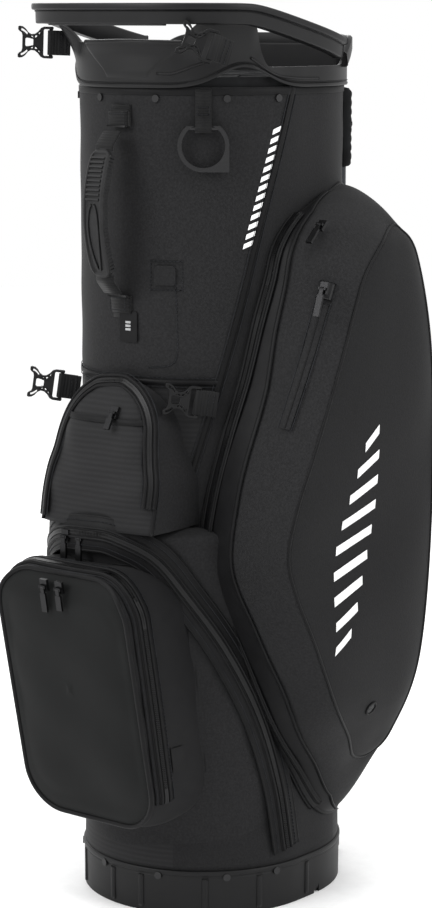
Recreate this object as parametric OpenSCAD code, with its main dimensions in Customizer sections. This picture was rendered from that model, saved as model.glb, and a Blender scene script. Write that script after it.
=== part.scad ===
// Golf stand bag: moulded cuff with a front grab handle, fabric body with full-length dividers,
// hollow pockets, two folding legs driven by a wire actuator, and a hinged base foot.
// +Z is up, -Y is the front (ball pocket), +Y the back (legs), +X the apparel pocket side.

/* [Body] */
// Radius of the rounded front and back of the body's section
tube_r = 125; // [122:1:127]
// Half of the straight stretch between the two round ends
tube_h = 13; // [11:1:15]
// Distance of the flat back panel from the axis
back_y = 118; // [117:1:119]
// Height of the fabric body's top edge
body_top = 830; // [825:1:835]
// Thickness of the padded fabric wall
wall = 2.5; // [2:0.1:3]

/* [Base] */
// Height of the moulded base cup
cup_h = 45; // [42:1:50]
// Depth of the sleeve that the base cup pushes up inside the fabric
sleeve_h = 30; // [20:1:40]
// Distance of the foot's hinge behind the axis
foot_hinge_y = 22; // [20:1:24]
// Height of the foot's hinge above the floor
foot_hinge_z = 11; // [11:0.5:12]
// Thickness of the foot plate
foot_t = 16; // [15:0.5:16]

/* [Cuff] */
// Height of the top of the rim above the floor
rim_top = 910; // [908:1:914]
// Height of the rim's band
rim_band = 20; // [16:1:20]
// Half width of the rim at its widest
rim_half_w = 144; // [142:1:146]
// Reach of the rim in front of the axis
rim_front = 175; // [172:1:178]
// Angle at which the rim's two arms fall towards the back
rim_fall = 13; // [12:0.5:14]
// How far the cuff's collar stands proud of the fabric
collar_o = 3.5; // [3:0.1:4]

/* [Dividers] */
// Thickness of a fabric divider
divider_t = 2; // [1.5:0.1:2.5]
// Width of the padded bars of the top grid
bar_w = 6; // [5:0.5:7]
// Half of the width of the middle column of club slots
column_x = 41; // [38:1:43]

/* [Legs] */
// Distance of a leg's pivot from the middle plane
pivot_x = 57.5; // [57:0.1:58]
// Distance of a leg's pivot behind the axis
pivot_y = 128.3; // [128:0.1:129]
// Height of the leg pivots
pivot_z = 792; // [788:1:795]
// Angle between a leg's swing direction and straight back
splay = 25; // [22:0.5:28]
// Outer radius of a leg tube
leg_r = 8; // [7:0.5:8]
// Height of the lower end of a leg at rest
leg_end = 112; // [105:1:125]
// Length of the crank that the actuator wire pushes
crank_r = 24; // [22:1:24]
// Radius of the actuator wire
wire_r = 2; // [1.75:0.05:2]

/* [Pockets] */
// Thickness of pocket walls
skin = 2; // [2:0.5:3]
// Outermost reach of the apparel pocket
apparel_x = 214; // [205:1:218]
// Half width of the ball pocket
ball_w = 86; // [80:1:90]
// Half width of the valuables pocket
valuables_w = 61; // [55:1:64]

/* [Hardware] */
// Radius of the towel ring's outer edge
ring_r = 25; // [23:0.5:26]
// Width of the shoulder strap webbing
webbing_w = 25; // [25:1:26]
// Length of a strap buckle
buckle_l = 33; // [32:1:36]
// Thickness of a strap buckle
buckle_t = 8; // [7:0.5:9]

/* [Hidden] */
$fn = 96;

gap = 0.3;                       // air between soft pieces on different bodies
big = 400;                       // half space size
run = 0.06;                      // running clearance of a pin
sleeve_o = -wall - gap;          // outer offset of the cup's sleeve
inner_o = -6.8;                  // offset that the dividers stay inside
row_y = [-131, -78, -30, 18, 66, 110];   // front to back, edges of the rows of club slots
panel_top = 820;                 // top of the dividers
pin_r = 3;
crank_angle = 15;                // the crank hangs this far below level at rest
front_lean = 8.6;                // how far the lower front pocket leans out towards its top

// Zip sliders: place of the slider, turn about Z, lean of the face, length of the pull
zip_valuables = [16, -167.5, 515, 0, -28, 20];
zip_front_left = [-28, -191.6, 392, 0, 0, 24];
zip_front_right = [-8, -191.6, 392, 0, 0, 26];
zip_ball_left = [-14, -238.5, 352, 0, 10, 28];
zip_ball_right = [6, -238.5, 352, 0, 10, 24];
zip_apparel = [164, -30, 696, 0, -45, 26];
zip_stash = [190, -59, 640, 0, -19, 30];

// ---- shapes shared by several pieces ----

// The body's section, grown by o: two round ends, a straight middle and a flat back
module section(o = 0) {
    intersection() {
        union() {
            translate([0, tube_h]) circle(tube_r + o);
            translate([0, -tube_h]) circle(tube_r + o);
            square([2 * (tube_r + o), 2 * tube_h], center = true);
        }
        translate([-big / 2, -big]) square([big, big + back_y + o]);
    }
}

module section_ring(outer, inner) {
    difference() {
        section(outer);
        section(inner);
    }
}

module column(z0, z1, o = 0) {
    translate([0, 0, z0]) linear_extrude(z1 - z0) section(o);
}

module ring_column(z0, z1, outer, inner) {
    translate([0, 0, z0]) linear_extrude(z1 - z0) section_ring(outer, inner);
}

// A prism along X from an outline in Y and Z
module prism_x(points, x0, x1) {
    translate([x0, 0, 0]) rotate([90, 0, 90]) linear_extrude(x1 - x0) polygon(points);
}

// A prism along Y from an outline in X and Z
module prism_y(points, y0, y1) {
    translate([0, y1, 0]) rotate([90, 0, 0]) linear_extrude(y1 - y0) polygon(points);
}

// A rectangle with round corners, centred
module rounded(w, h, r) {
    square([w - 2 * r, h], center = true);
    square([w, h - 2 * r], center = true);
    for (x = [-1, 1], y = [-1, 1]) translate([x * (w / 2 - r), y * (h / 2 - r)]) circle(r);
}

// A box from its two corners
module block(low, high) {
    translate(low) cube(high - low);
}

// Puts children on the front surface at an angle from straight ahead, with local -Y outwards
module on_front(angle, z = 0) {
    translate([0, -tube_h, z]) rotate([0, 0, angle]) children();
}

// Points drawn towards a centre by a distance
function inset(points, centre, d) =
    [for (p = points) p + d * (centre - p) / norm(centre - p)];

// Half width of the section at a distance y from the axis
function half_width(y, o) =
    let (t = max(abs(y) - tube_h, 0)) sqrt(pow(tube_r + o, 2) - t * t);

// ---- base ----

module base_cup() {
    floor_line = [[-big, 5], [8, 5], [11, 26], [big / 2, 26 + 0.155 * 189], [big / 2, big], [-big, big]];
    foot_space = [[13, -1], [13, 20], [150, 41], [150, -1]];
    lug_x = [-60, 40];
    color("#2b2c2e") {
        difference() {
            union() {
                column(0, cup_h, 1);
                column(0, cup_h + sleeve_h, sleeve_o);
            }
            intersection() {
                column(1, 200, -6);
                prism_x(floor_line, -big, big);
            }
            prism_x(foot_space, -big, big);
        }
        for (x = lug_x) difference() {
            union() {
                block([x, 8, 3.5], [x + 20, foot_hinge_y, 18.5]);
                translate([x, foot_hinge_y, foot_hinge_z]) rotate([0, 90, 0]) cylinder(r = 7.5, h = 20);
            }
            translate([x - 1, foot_hinge_y, foot_hinge_z]) rotate([0, 90, 0]) cylinder(r = pin_r, h = 22);
        }
    }
}

module base_foot() {
    color("#303133") difference() {
        union() {
            intersection() {
                column(gap, foot_t, 1);
                block([-big, foot_hinge_y, 0], [big, big, 50]);
            }
            translate([-100, foot_hinge_y, foot_hinge_z]) rotate([0, 90, 0]) cylinder(r = 8, h = 200);
            block([-56, back_y - 10, 3], [56, 150, 15]);
            block([-33, back_y + 4, 3], [33, 150, 20]);
        }
        for (x = [-60, 40]) block([x - 0.5, 0, -1], [x + 20.5, foot_hinge_y + 10, 30]);
        for (x = [-44, 34]) block([x, 136, -1], [x + 10, 160, 30]);
        translate([-101, foot_hinge_y, foot_hinge_z]) rotate([0, 90, 0]) cylinder(r = pin_r + run, h = 202);
        translate([-60, 143, 12]) rotate([0, 90, 0]) cylinder(r = wire_r + 2, h = 120);
    }
}

module foot_hinge_pin() {
    color("#9a9da0") translate([-99, foot_hinge_y, foot_hinge_z]) rotate([0, 90, 0])
        cylinder(r = pin_r, h = 198);
}

// ---- body ----

module stay_rods() {
    color("#55585a") for (angle = [-52, 52, 112, -112])
        translate([0, sign(abs(angle) - 90) * tube_h, 0]) rotate([0, 0, angle])
            translate([0, -tube_r + 6.1, 76]) cylinder(r = 3, h = panel_top - 78);
}

module body_shell() {
    color("#2a2a2b") ring_column(cup_h, body_top, 0, -wall);
}

// Every wall between two club slots: four across, and the short ones between them
module slot_walls(t) {
    for (i = [1:4])
        let (w = half_width(abs(row_y[i]) + t / 2, inner_o))
            translate([-w, row_y[i] - t / 2]) square([2 * w, t]);
    for (i = [0:4], x = i == 0 ? [0] : [-column_x, column_x])
        translate([x - t / 2, row_y[i] + t / 2 + 0.2])
            square([t, row_y[i + 1] - row_y[i] - t - 0.4]);
}

module divider_panels() {
    color("#1d1d1f") translate([0, 0, 48]) linear_extrude(panel_top - 48) slot_walls(divider_t);
}

module divider_grid() {
    color("#3a3b3d") translate([0, 0, panel_top + 0.5]) linear_extrude(20) {
        section_ring(-3.2, -8.5);
        intersection() {
            section(-3.5);
            for (i = [1:4]) translate([-big / 2, row_y[i] - bar_w / 2]) square([big, bar_w]);
        }
        intersection() {
            section(-3.5);
            for (i = [0:4], x = i == 0 ? [0] : [-column_x, column_x])
                translate([x - bar_w / 2, i == 0 ? -big : row_y[i]])
                    square([bar_w, i == 0 ? big + row_y[1] : (i == 4 ? big : row_y[i + 1] - row_y[i])]);
        }
    }
}

// ---- cuff ----

module cuff_collar() {
    color("#323335") {
        ring_column(828, body_top, collar_o, 0.1);
        ring_column(body_top, 846, collar_o, -3);
        intersection() {
            ring_column(845, 868, collar_o, -3);
            union() {
                block([-big, 48, 800], [big, big, 900]);
                block([-76, -big, 800], [76, -90, 900]);
            }
        }
    }
}

// One point of the rim's outline: a rounded box that is wider in front than behind
function rim_point(t, d) =
    let (c = cos(t), s = sin(t), front = s < 0, n = front ? 3 : 2.6,
         depth = (front ? rim_front - 20 : 139) - d,
         x = sign(c) * pow(abs(c), 2 / n) * (rim_half_w - d),
         y = sign(s) * pow(abs(s), 2 / n) * depth)
    [x, y - 20];

module rim_outline(d) {
    polygon([for (i = [0:95]) rim_point(i * 3.75, d)]);
}

module rim_ring(z0, z1, d0, d1) {
    translate([0, 0, z0]) linear_extrude(z1 - z0) difference() {
        rim_outline(d0);
        rim_outline(d1);
    }
}

module rim_band_solid() {
    rim_ring(rim_top - rim_band, rim_top, 4, 15);
    rim_ring(rim_top - 6, rim_top, 0, 15);
}

// A web from the collar up to the rim, given by its reach in X and Y below and above
module corner_web(low_x, low_y, high_x, high_y) {
    hull() {
        intersection() {
            ring_column(846, 847, collar_o, -2.5);
            block([low_x[0], low_y[0], 800], [low_x[1], low_y[1], 900]);
        }
        intersection() {
            rim_ring(rim_top - rim_band, rim_top - rim_band + 1, 6, 14);
            block([high_x[0], high_y[0], 800], [high_x[1], high_y[1], 950]);
        }
    }
}

module cuff_rim() {
    color("#323335") {
        intersection() {
            rim_band_solid();
            block([-big, -big, 800], [big, -96, 950]);
        }
        intersection() {
            translate([0, -100, rim_top]) rotate([-rim_fall, 0, 0]) translate([0, 100, -rim_top]) intersection() {
                rim_band_solid();
                block([-big, -101, 800], [big, 56, 950]);
            }
            union() {
                block([-big, -big, 869], [big, big, 950]);
                block([-big, -big, 800], [big, 47.5, 950]);
            }
        }
        corner_web([70, big], [-118, -62], [88, big], [-152, -92]);
        corner_web([-88, -70], [-118, -84], [-95, -60], [-165, -135]);
    }
}

// ---- legs and their actuator ----

// The right leg's own frame: X along its hinge, Y the way it swings out
module leg_frame(side) {
    mirror([side < 0 ? 1 : 0, 0, 0]) translate([pivot_x, pivot_y, pivot_z]) rotate([0, 0, -splay]) children();
}

module both_legs() {
    for (side = [-1, 1]) leg_frame(side) children();
}

module leg_bracket() {
    color("#2b2c2e") {
        difference() {
            block([-72, back_y + 0.1, 764], [72, back_y + 2.1, 824]);
            for (s = [-1, 1]) block([s * 55 - 20, back_y - 5, 782], [s * 55 + 20, back_y + 5, 802]);
        }
        intersection() {
            both_legs() for (x = [-25, 9.9]) difference() {
                union() {
                    block([x, -16, -14], [x + 3.5, 0, 14]);
                    translate([x, 0, 0]) rotate([0, 90, 0]) cylinder(r = 8, h = 3.5);
                }
                translate([x - 1, 0, 0]) rotate([0, 90, 0]) cylinder(r = pin_r, h = 6);
            }
            block([-big, back_y + 0.1, 700], [big, big, 900]);
        }
        for (s = [-1, 1]) block([s * 28 - 14, back_y + 2, 783], [s * 28 + 14, back_y + 6, 801]);
    }
}

module leg_pivot_pins() {
    color("#a5a8aa") both_legs() translate([-25.5, 0, 0]) rotate([0, 90, 0]) cylinder(r = pin_r, h = 39);
}

module leg_knuckle(side) {
    crank_y = crank_r * cos(crank_angle);
    crank_z = -crank_r * sin(crank_angle);
    color("#232426") leg_frame(side) difference() {
        union() {
            translate([-20.5, 0, 0]) rotate([0, 90, 0]) cylinder(r = 6.8, h = 29);
            translate([0, 6, -44]) cylinder(r = 9.4, h = 40);
            translate([-18.5, 0, 0]) rotate([0, 90, 0]) linear_extrude(6) {
                translate([-crank_z, crank_y]) circle(6);
                rotate(90 - crank_angle) translate([0, -5]) square([crank_r, 10]);
            }
        }
        translate([-21, 0, 0]) rotate([0, 90, 0]) cylinder(r = pin_r + run, h = 30);
        translate([0, 6, -45]) cylinder(r = leg_r + 0.02, h = 33);
        translate([-19, crank_y, crank_z]) rotate([0, 90, 0]) cylinder(r = wire_r + 1.6, h = 8);
    }
}

module leg_tube(side) {
    color("#3c3e40") leg_frame(side) translate([0, 6, leg_end + 12 - pivot_z]) difference() {
        cylinder(r = leg_r, h = pivot_z - leg_end - 25);
        translate([0, 0, -1]) cylinder(r = leg_r - 1.2, h = pivot_z - leg_end);
    }
}

module leg_foot(side) {
    color("#151516") leg_frame(side) translate([0, 6.6, leg_end - pivot_z]) difference() {
        union() {
            cylinder(r1 = 9.5, r2 = 12, h = 10);
            translate([0, 0, 10]) cylinder(r = 12, h = 14);
            translate([0, 0, 24]) cylinder(r1 = 12, r2 = 10, h = 12);
        }
        translate([0, -0.6, 11.9]) cylinder(r = leg_r + 0.02, h = 30);
    }
}

// A straight round rod between two points, run on a little at both ends to fill the bends
module rod(a, b, r) {
    d = (b - a) / norm(b - a);
    translate(a - r / 2 * d) rotate([0, acos(d[2]), atan2(d[1], d[0])]) cylinder(r = r, h = norm(b - a) + r);
}

module actuator_wire() {
    hook_y = crank_r * cos(crank_angle);
    hook = [pivot_x - 27 * cos(splay) + hook_y * sin(splay),
            pivot_y + 27 * sin(splay) + hook_y * cos(splay),
            pivot_z - crank_r * sin(crank_angle)];
    route = [[39, 143, 12], [39, 143, 690], [hook[0], hook[1], 745], hook,
             hook + 17 * [cos(splay), -sin(splay), 0]];
    color("#b4b7ba") {
        for (s = [0, 1], i = [0:len(route) - 2]) mirror([s, 0, 0]) rod(route[i], route[i + 1], wire_r);
        rod([-39, 143, 12], [39, 143, 12], wire_r);
    }
}

module hip_pad() {
    color("#242527") {
        block([-33, back_y + gap, 330], [33, back_y + 18, 755]);
        intersection() {
            ring_column(745, 826, 10, gap);
            for (s = [-1, 1]) translate([0, tube_h, 0]) rotate([0, 0, s * 134])
                block([-14, -big, 700], [14, 0, 900]);
        }
    }
}

// ---- pockets, each open at the back where it meets the body ----

// A pouch with a round top
module valuables_solid(d) {
    top = 543;
    line = [[-100, top - d], [-139, top - d], [-158, 526], [-174, 494], [-186, 440], [-186, 402 + d],
            [-100, 402 + d]];
    r = valuables_w - d;
    intersection() {
        prism_x([for (p = line) [min(p[0] + d, -100), p[1]]], -r, r);
        rotate([90, 0, 0]) linear_extrude(300) {
            translate([0, top - valuables_w]) circle(r);
            translate([-r, 300]) square([2 * r, top - valuables_w - 300]);
        }
    }
}

module valuables_pocket() {
    color("#2a2a2b") difference() {
        valuables_solid(0);
        valuables_solid(skin);
        column(390, 560, 0.1);
    }
}

// A round column that leans out over the front of the body, cut level above and below
module leaning_column(z0, z1, o = 0) {
    intersection() {
        translate([0, -14, 56]) rotate([front_lean, 0, 0]) translate([0, 0, -100])
            cylinder(r = 122 + o, h = 600);
        block([-big, -big, z0], [big, big, z1]);
    }
}

module lower_front_pocket() {
    color("#2c2c2d") difference() {
        leaning_column(56, 398);
        leaning_column(56 + skin, 398 - skin, -skin);
        column(40, 410, 0.1);
    }
}

// The face leans back towards the base
module ball_solid(d) {
    lean = [[-100, 365 - d], [-237 + d, 365 - d], [-237 + d, 345], [-190 + d, 112 + d], [-100, 112 + d]];
    intersection() {
        prism_x(lean, -ball_w + d, ball_w - d);
        translate([0, 0, 238.5]) rotate([90, 0, 0]) linear_extrude(300) rounded(2 * ball_w - 2 * d, 253 - 2 * d, 38);
    }
}

module ball_pocket() {
    color("#2d2d2e") difference() {
        ball_solid(0);
        ball_solid(skin);
        column(40, 410, 0.1);
        leaning_column(50, 398.1, 0.1);
    }
}

module apparel_solid(d) {
    face = [[100, 738], [130, 738], [165, 712], [198, 672], [210, 600], [apparel_x, 520], [apparel_x, 370],
            [206, 290], [190, 225], [165, 165], [132, 105], [100, 105]];
    side = [[26, 735], [-20, 706], [-46, 677], [-70, 606], [-90, 530], [-105, 450], [-112, 380], [-106, 330],
            [-90, 285], [-62, 205], [-28, 146], [18, 95], [88, 95], [96, 130], [96, 700], [88, 735]];
    intersection() {
        prism_y(inset(face, [100, 430], d), -200, 200);
        prism_x(inset(side, [0, 420], d), 60, 260);
    }
}

module apparel_pocket() {
    color("#2b2b2c") difference() {
        apparel_solid(0);
        apparel_solid(skin + 1);
        column(40, 760, 0.1);
        leaning_column(50, 398.2, 0.2);
    }
}

module side_solid(d) {
    face = [[-100, 360 - d], [-130, 360 - d], [-158 + d, 330], [-165 + d, 240], [-158 + d, 160], [-130, 120 + d],
            [-100, 120 + d]];
    intersection() {
        prism_y(face, -40 + d, 90 - d);
        block([-200, -40, 60], [-80, 90, 400]);
    }
}

module side_pocket() {
    color("#2b2b2c") difference() {
        side_solid(0);
        side_solid(skin);
        column(40, 410, 0.1);
        leaning_column(50, 398.2, 0.2);
    }
}

// ---- carry handle and towel ring ----

module handle_anchors() {
    color("#1c1c1d") for (z = [798, 619]) difference() {
        block([-12, -151, z - 8], [12, -tube_r, z + 8]);
        column(z - 10, z + 10, 0.05);
    }
}

module handle_webbing() {
    color("#1c1c1d") for (s = [0, 1]) translate([0, 0, 708.5]) mirror([0, 0, s]) translate([0, 0, -708.5])
        prism_x([[-150.8, 789.5], [-153.6, 789.5], [-166, 775], [-163.4, 774]], -11, 11);
}

module handle_grip() {
    grip_r = 150;
    color("#3b3c3e") translate([0, -184 + grip_r, 708.5]) rotate([0, 90, 0]) rotate([0, 0, 180])
        translate([0, 0, -13]) difference() {
            rotate([0, 0, 64.5]) rotate_extrude(angle = 51) translate([grip_r - 12, 0]) square([12, 26]);
            for (i = [-3:3]) rotate([0, 0, 90 + i * 6]) translate([grip_r - 20, -2.4, 5]) cube([30, 4.8, 16]);
        }
}

module towel_ring_webbing() {
    color("#1c1c1d") on_front(39.5) difference() {
        union() {
            block([-8, -tube_r - 2.4, 796], [8, -tube_r - 0.1, 827.5]);
            block([-8, -tube_r - 9.4, 786.5], [8, -tube_r - 0.4, 796.5]);
        }
        translate([-9, -tube_r - 5.5, 791]) rotate([0, 90, 0]) cylinder(r = 2.2 + run, h = 18);
    }
}

module towel_ring() {
    color("#8d9092") on_front(39.5) translate([0, -tube_r - 5.5, 0]) {
        intersection() {
            translate([0, 2.5, 774]) rotate([90, 0, 0]) linear_extrude(5) difference() {
                union() {
                    circle(ring_r);
                    translate([4, -ring_r]) square([ring_r - 4, ring_r * 0.9]);
                }
                circle(ring_r - 4);
            }
            block([-50, -20, 700], [50, 20, 793.2]);
        }
        translate([-15.5, 0, 791]) rotate([0, 90, 0]) cylinder(r = 2.2, h = 31);
    }
}

// ---- strap ends and their buckles ----

// Places of the four strap ends: root point, the way the webbing points, how far the buckle turns
// from that, and how steeply both rise
upper_left = [[-101, -100, 870], 220, 0, 2];
upper_right = [[126, -126, 862], 250, -28, 20];
mid_left = [[-81, -112, 524], 220, 0, 8];
mid_right = [[96, -108, 523], 224, 0, 8];
webbing_l = 20;

module strap_frame(place) {
    translate(place[0]) rotate([0, 0, place[1]]) rotate([0, -place[3], 0]) children();
}

module strap(place) {
    color("#171718") strap_frame(place) difference() {
        union() {
            block([0, -1.3, -webbing_w / 2], [webbing_l - 2, 1.3, webbing_w / 2]);
            translate([webbing_l, 0, -webbing_w / 2]) cylinder(r = 3.6, h = webbing_w);
        }
        translate([webbing_l, 0, -webbing_w]) cylinder(r = 1.9 + run, h = 2 * webbing_w);
    }
}

// A side release socket: a waisted frame with windows, on a round bar for the webbing
module buckle(place) {
    half = webbing_w / 2 + 4;
    color("#1f2022") strap_frame(place) translate([webbing_l, 0, 0]) rotate([0, 0, place[2]]) {
        cylinder(r = 1.9, h = 2 * half - 2, center = true);
        translate([0, buckle_t / 2, 0]) rotate([90, 0, 0]) linear_extrude(buckle_t) difference() {
            polygon([[-2.5, -half], [12, -half + 1], [20, -half + 5], [28, -half + 1], [buckle_l, -half],
                     [buckle_l, half], [28, half - 1], [20, half - 5], [12, half - 1], [-2.5, half]]);
            translate([1, 0]) square([11, webbing_w + 2], center = true);
            translate([1, 0]) square([20, webbing_w + 1], center = true);
            for (y = [-8.5, 8.5]) translate([19.5, y * 0.55]) circle(3);
            translate([buckle_l - 4, 0]) square([9, webbing_w - 6], center = true);
        }
    }
}

// ---- zip sliders and pulls ----

module zip_frame(zip) {
    translate([zip[0], zip[1], zip[2]]) rotate([0, 0, zip[3]]) rotate([zip[4], 0, 0]) children();
}

module zip_slider(zip) {
    color("#8f9294") zip_frame(zip) {
        block([-4.5, -3.4, -7], [4.5, -gap, 5]);
        for (x = [-3.9, 2.6]) block([x, -6.2, -3.4], [x + 1.3, -3.3, -0.6]);
        translate([-3, -5, -2]) rotate([0, 90, 0]) cylinder(r = 0.9, h = 6);
    }
}

module zip_pull(zip) {
    color("#77797b") zip_frame(zip) difference() {
        union() {
            translate([-2.2, -5, -2]) rotate([0, 90, 0]) cylinder(r = 1.5, h = 4.4);
            block([-2.2, -6.2, -9], [2.2, -4.4, -3]);
            block([-3.4, -6.5, -zip[5]], [3.4, -4.1, -8.5]);
        }
        translate([-4, -5, -2]) rotate([0, 90, 0]) cylinder(r = 1.05, h = 8);
    }
}

// ---- small fittings ----

module rivets() {
    angles = [-75, -50, -14, 18, 50, 75];
    color("#77797b") {
        for (a = angles) {
            on_front(a, 819) translate([0, -tube_r, 0]) rotate([90, 0, 0]) cylinder(r = 3.6, h = 1.8);
            on_front(a, cup_h - 6) translate([0, -tube_r - 1, 0]) rotate([90, 0, 0]) cylinder(r = 3.8, h = 2);
        }
    }
}

module name_tag() {
    color("#c9cacb") on_front(3.6, 596) translate([0, -tube_r - 0.1, 0]) rotate([90, 0, 0])
        linear_extrude(1.2) rounded(21, 30, 2);
}

module glove_patch() {
    color("#202021") on_front(22, 648) translate([0, -tube_r - 0.1, 0]) rotate([90, 0, 0])
        linear_extrude(1.4) rounded(22, 19, 4);
}

base_cup();
base_foot();
foot_hinge_pin();
stay_rods();
body_shell();
divider_panels();
divider_grid();
cuff_collar();
cuff_rim();
leg_bracket();
leg_pivot_pins();
leg_knuckle(1);  // leg_knuckle_right
leg_knuckle(-1);  // leg_knuckle_left
leg_tube(1);  // leg_tube_right
leg_tube(-1);  // leg_tube_left
leg_foot(1);  // leg_foot_right
leg_foot(-1);  // leg_foot_left
actuator_wire();
hip_pad();
valuables_pocket();
lower_front_pocket();
ball_pocket();
apparel_pocket();
side_pocket();
handle_anchors();
handle_webbing();
handle_grip();
towel_ring_webbing();
towel_ring();
strap(upper_left);  // strap_upper_left
strap(upper_right);  // strap_upper_right
strap(mid_left);  // strap_mid_left
strap(mid_right);  // strap_mid_right
buckle(upper_left);  // buckle_upper_left
buckle(upper_right);  // buckle_upper_right
buckle(mid_left);  // buckle_mid_left
buckle(mid_right);  // buckle_mid_right
zip_slider(zip_valuables);  // slider_valuables
zip_slider(zip_front_left);  // slider_front_left
zip_slider(zip_front_right);  // slider_front_right
zip_slider(zip_ball_left);  // slider_ball_left
zip_slider(zip_ball_right);  // slider_ball_right
zip_slider(zip_apparel);  // slider_apparel
zip_slider(zip_stash);  // slider_stash
zip_pull(zip_valuables);  // pull_valuables
zip_pull(zip_front_left);  // pull_front_left
zip_pull(zip_front_right);  // pull_front_right
zip_pull(zip_ball_left);  // pull_ball_left
zip_pull(zip_ball_right);  // pull_ball_right
zip_pull(zip_apparel);  // pull_apparel
zip_pull(zip_stash);  // pull_stash
rivets();
name_tag();
glove_patch();
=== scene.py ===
import bpy
import math
import numpy as np
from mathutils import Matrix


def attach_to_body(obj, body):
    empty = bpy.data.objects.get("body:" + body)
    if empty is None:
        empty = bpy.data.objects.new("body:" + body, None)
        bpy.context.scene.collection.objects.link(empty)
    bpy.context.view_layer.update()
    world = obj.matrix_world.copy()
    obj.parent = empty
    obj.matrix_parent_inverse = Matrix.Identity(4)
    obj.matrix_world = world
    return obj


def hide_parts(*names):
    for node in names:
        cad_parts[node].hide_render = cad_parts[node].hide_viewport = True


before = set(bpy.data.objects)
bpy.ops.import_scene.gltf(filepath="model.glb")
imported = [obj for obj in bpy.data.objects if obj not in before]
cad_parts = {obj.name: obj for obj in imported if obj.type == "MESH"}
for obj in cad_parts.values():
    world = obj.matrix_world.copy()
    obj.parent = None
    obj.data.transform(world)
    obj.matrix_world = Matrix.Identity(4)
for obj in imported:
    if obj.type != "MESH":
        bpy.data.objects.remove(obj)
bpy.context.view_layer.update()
print("frame loaded:", len(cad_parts), "nodes")

mm = 0.001


# ---- small tools for meshes ----

# corners of a grid's quads; closeU joins the last row to the first, closeV the last column to the first
def gridFaces(nu, nv, closeU=False, closeV=False):
    i = np.arange(nu if closeU else nu - 1)[:, None]
    j = np.arange(nv if closeV else nv - 1)[None, :]
    a, b = i * nv + j, ((i + 1) % nu) * nv + j
    c, d = ((i + 1) % nu) * nv + (j + 1) % nv, i * nv + (j + 1) % nv
    return np.stack([a, b, c, d], axis=-1).reshape(-1, 4)


def putObject(name, verts, faces, material, smooth=True):
    mesh = bpy.data.meshes.new(name)
    mesh.from_pydata(np.asarray(verts, float).reshape(-1, 3).tolist(), [],
                     [list(map(int, f)) for f in faces])
    mesh.materials.append(material)
    mesh.polygons.foreach_set("use_smooth", np.full(len(mesh.polygons), smooth))
    mesh.update()
    piece = bpy.data.objects.new(name, mesh)
    bpy.context.scene.collection.objects.link(piece)
    return piece


def addUv(piece, uv):
    layer = piece.data.uv_layers.new(name="surface")
    corner = np.empty(len(piece.data.loops), dtype=np.int64)
    piece.data.loops.foreach_get("vertex_index", corner)
    layer.data.foreach_set("uv", np.asarray(uv, float).reshape(-1, 2)[corner].ravel())


# a surface on a grid of points (nu, nv, 3); outward is one direction per point, or a centre to face away from
def gridPiece(name, points, material, closeU=False, closeV=False, outward=None, centre=None,
              thick=0.0, side=-1.0, uv=None, smooth=True):
    nu, nv = points.shape[:2]
    faces = gridFaces(nu, nv, closeU, closeV)
    flat = points.reshape(-1, 3)
    corners = flat[faces]
    normal = np.cross(corners[:, 2] - corners[:, 0], corners[:, 3] - corners[:, 1])
    if outward is None:
        away = corners.mean(axis=1) - np.asarray(centre if centre is not None else flat.mean(axis=0))
    else:
        away = np.broadcast_to(outward, points.shape).reshape(-1, 3)[faces].mean(axis=1)
    if (normal * away).sum() < 0:
        faces = faces[:, ::-1]
    piece = putObject(name, flat, faces, material, smooth)
    if uv is not None:
        addUv(piece, uv)
    if thick:
        solid = piece.modifiers.new("thickness", "SOLIDIFY")
        solid.thickness = thick
        solid.offset = side
        solid.use_even_offset = False
    return piece


# smooth curve through a few points: each coordinate is a Catmull-Rom spline of the running number
def smoothPath(points, count, closed=False):
    p = np.asarray(points, float)
    if closed:
        ends = np.vstack([p[-1:], p, p[:2]])
        t = np.linspace(0, len(p), count, endpoint=False)
    else:
        ends = np.vstack([2 * p[:1] - p[1:2], p, 2 * p[-1:] - p[-2:-1]])
        t = np.linspace(0, len(p) - 1 - 1e-9, count)
    k = t.astype(int)
    f = (t - k)[:, None]
    a, b, c, d = ends[k], ends[k + 1], ends[k + 2], ends[k + 3]
    return 0.5 * (2 * b + (c - a) * f + (2 * a - 5 * b + 4 * c - d) * f ** 2 + (3 * b - a - 3 * c + d)
                  * f ** 3)


# the same path with points a fixed distance apart along it
def evenPath(points, step):
    gaps = np.linalg.norm(np.diff(points, axis=0), axis=1)
    along = np.concatenate([[0], np.cumsum(gaps)])
    wanted = np.linspace(0, along[-1], max(2, int(along[-1] / step) + 1))
    return np.stack([np.interp(wanted, along, points[:, i]) for i in range(points.shape[1])], axis=1)


def unit(v):
    return v / np.maximum(np.linalg.norm(v, axis=-1, keepdims=True), 1e-12)


# directions at each point of a path: along it, and across it in the surface whose normal is given
def pathAxes(points, normals, closed=False):
    if closed:
        along = unit(np.roll(points, -1, axis=0) - np.roll(points, 1, axis=0))
    else:
        along = unit(np.gradient(points, axis=0))
    normal = unit(normals - (normals * along).sum(axis=1, keepdims=True) * along)
    return along, np.cross(along, normal), normal


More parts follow.
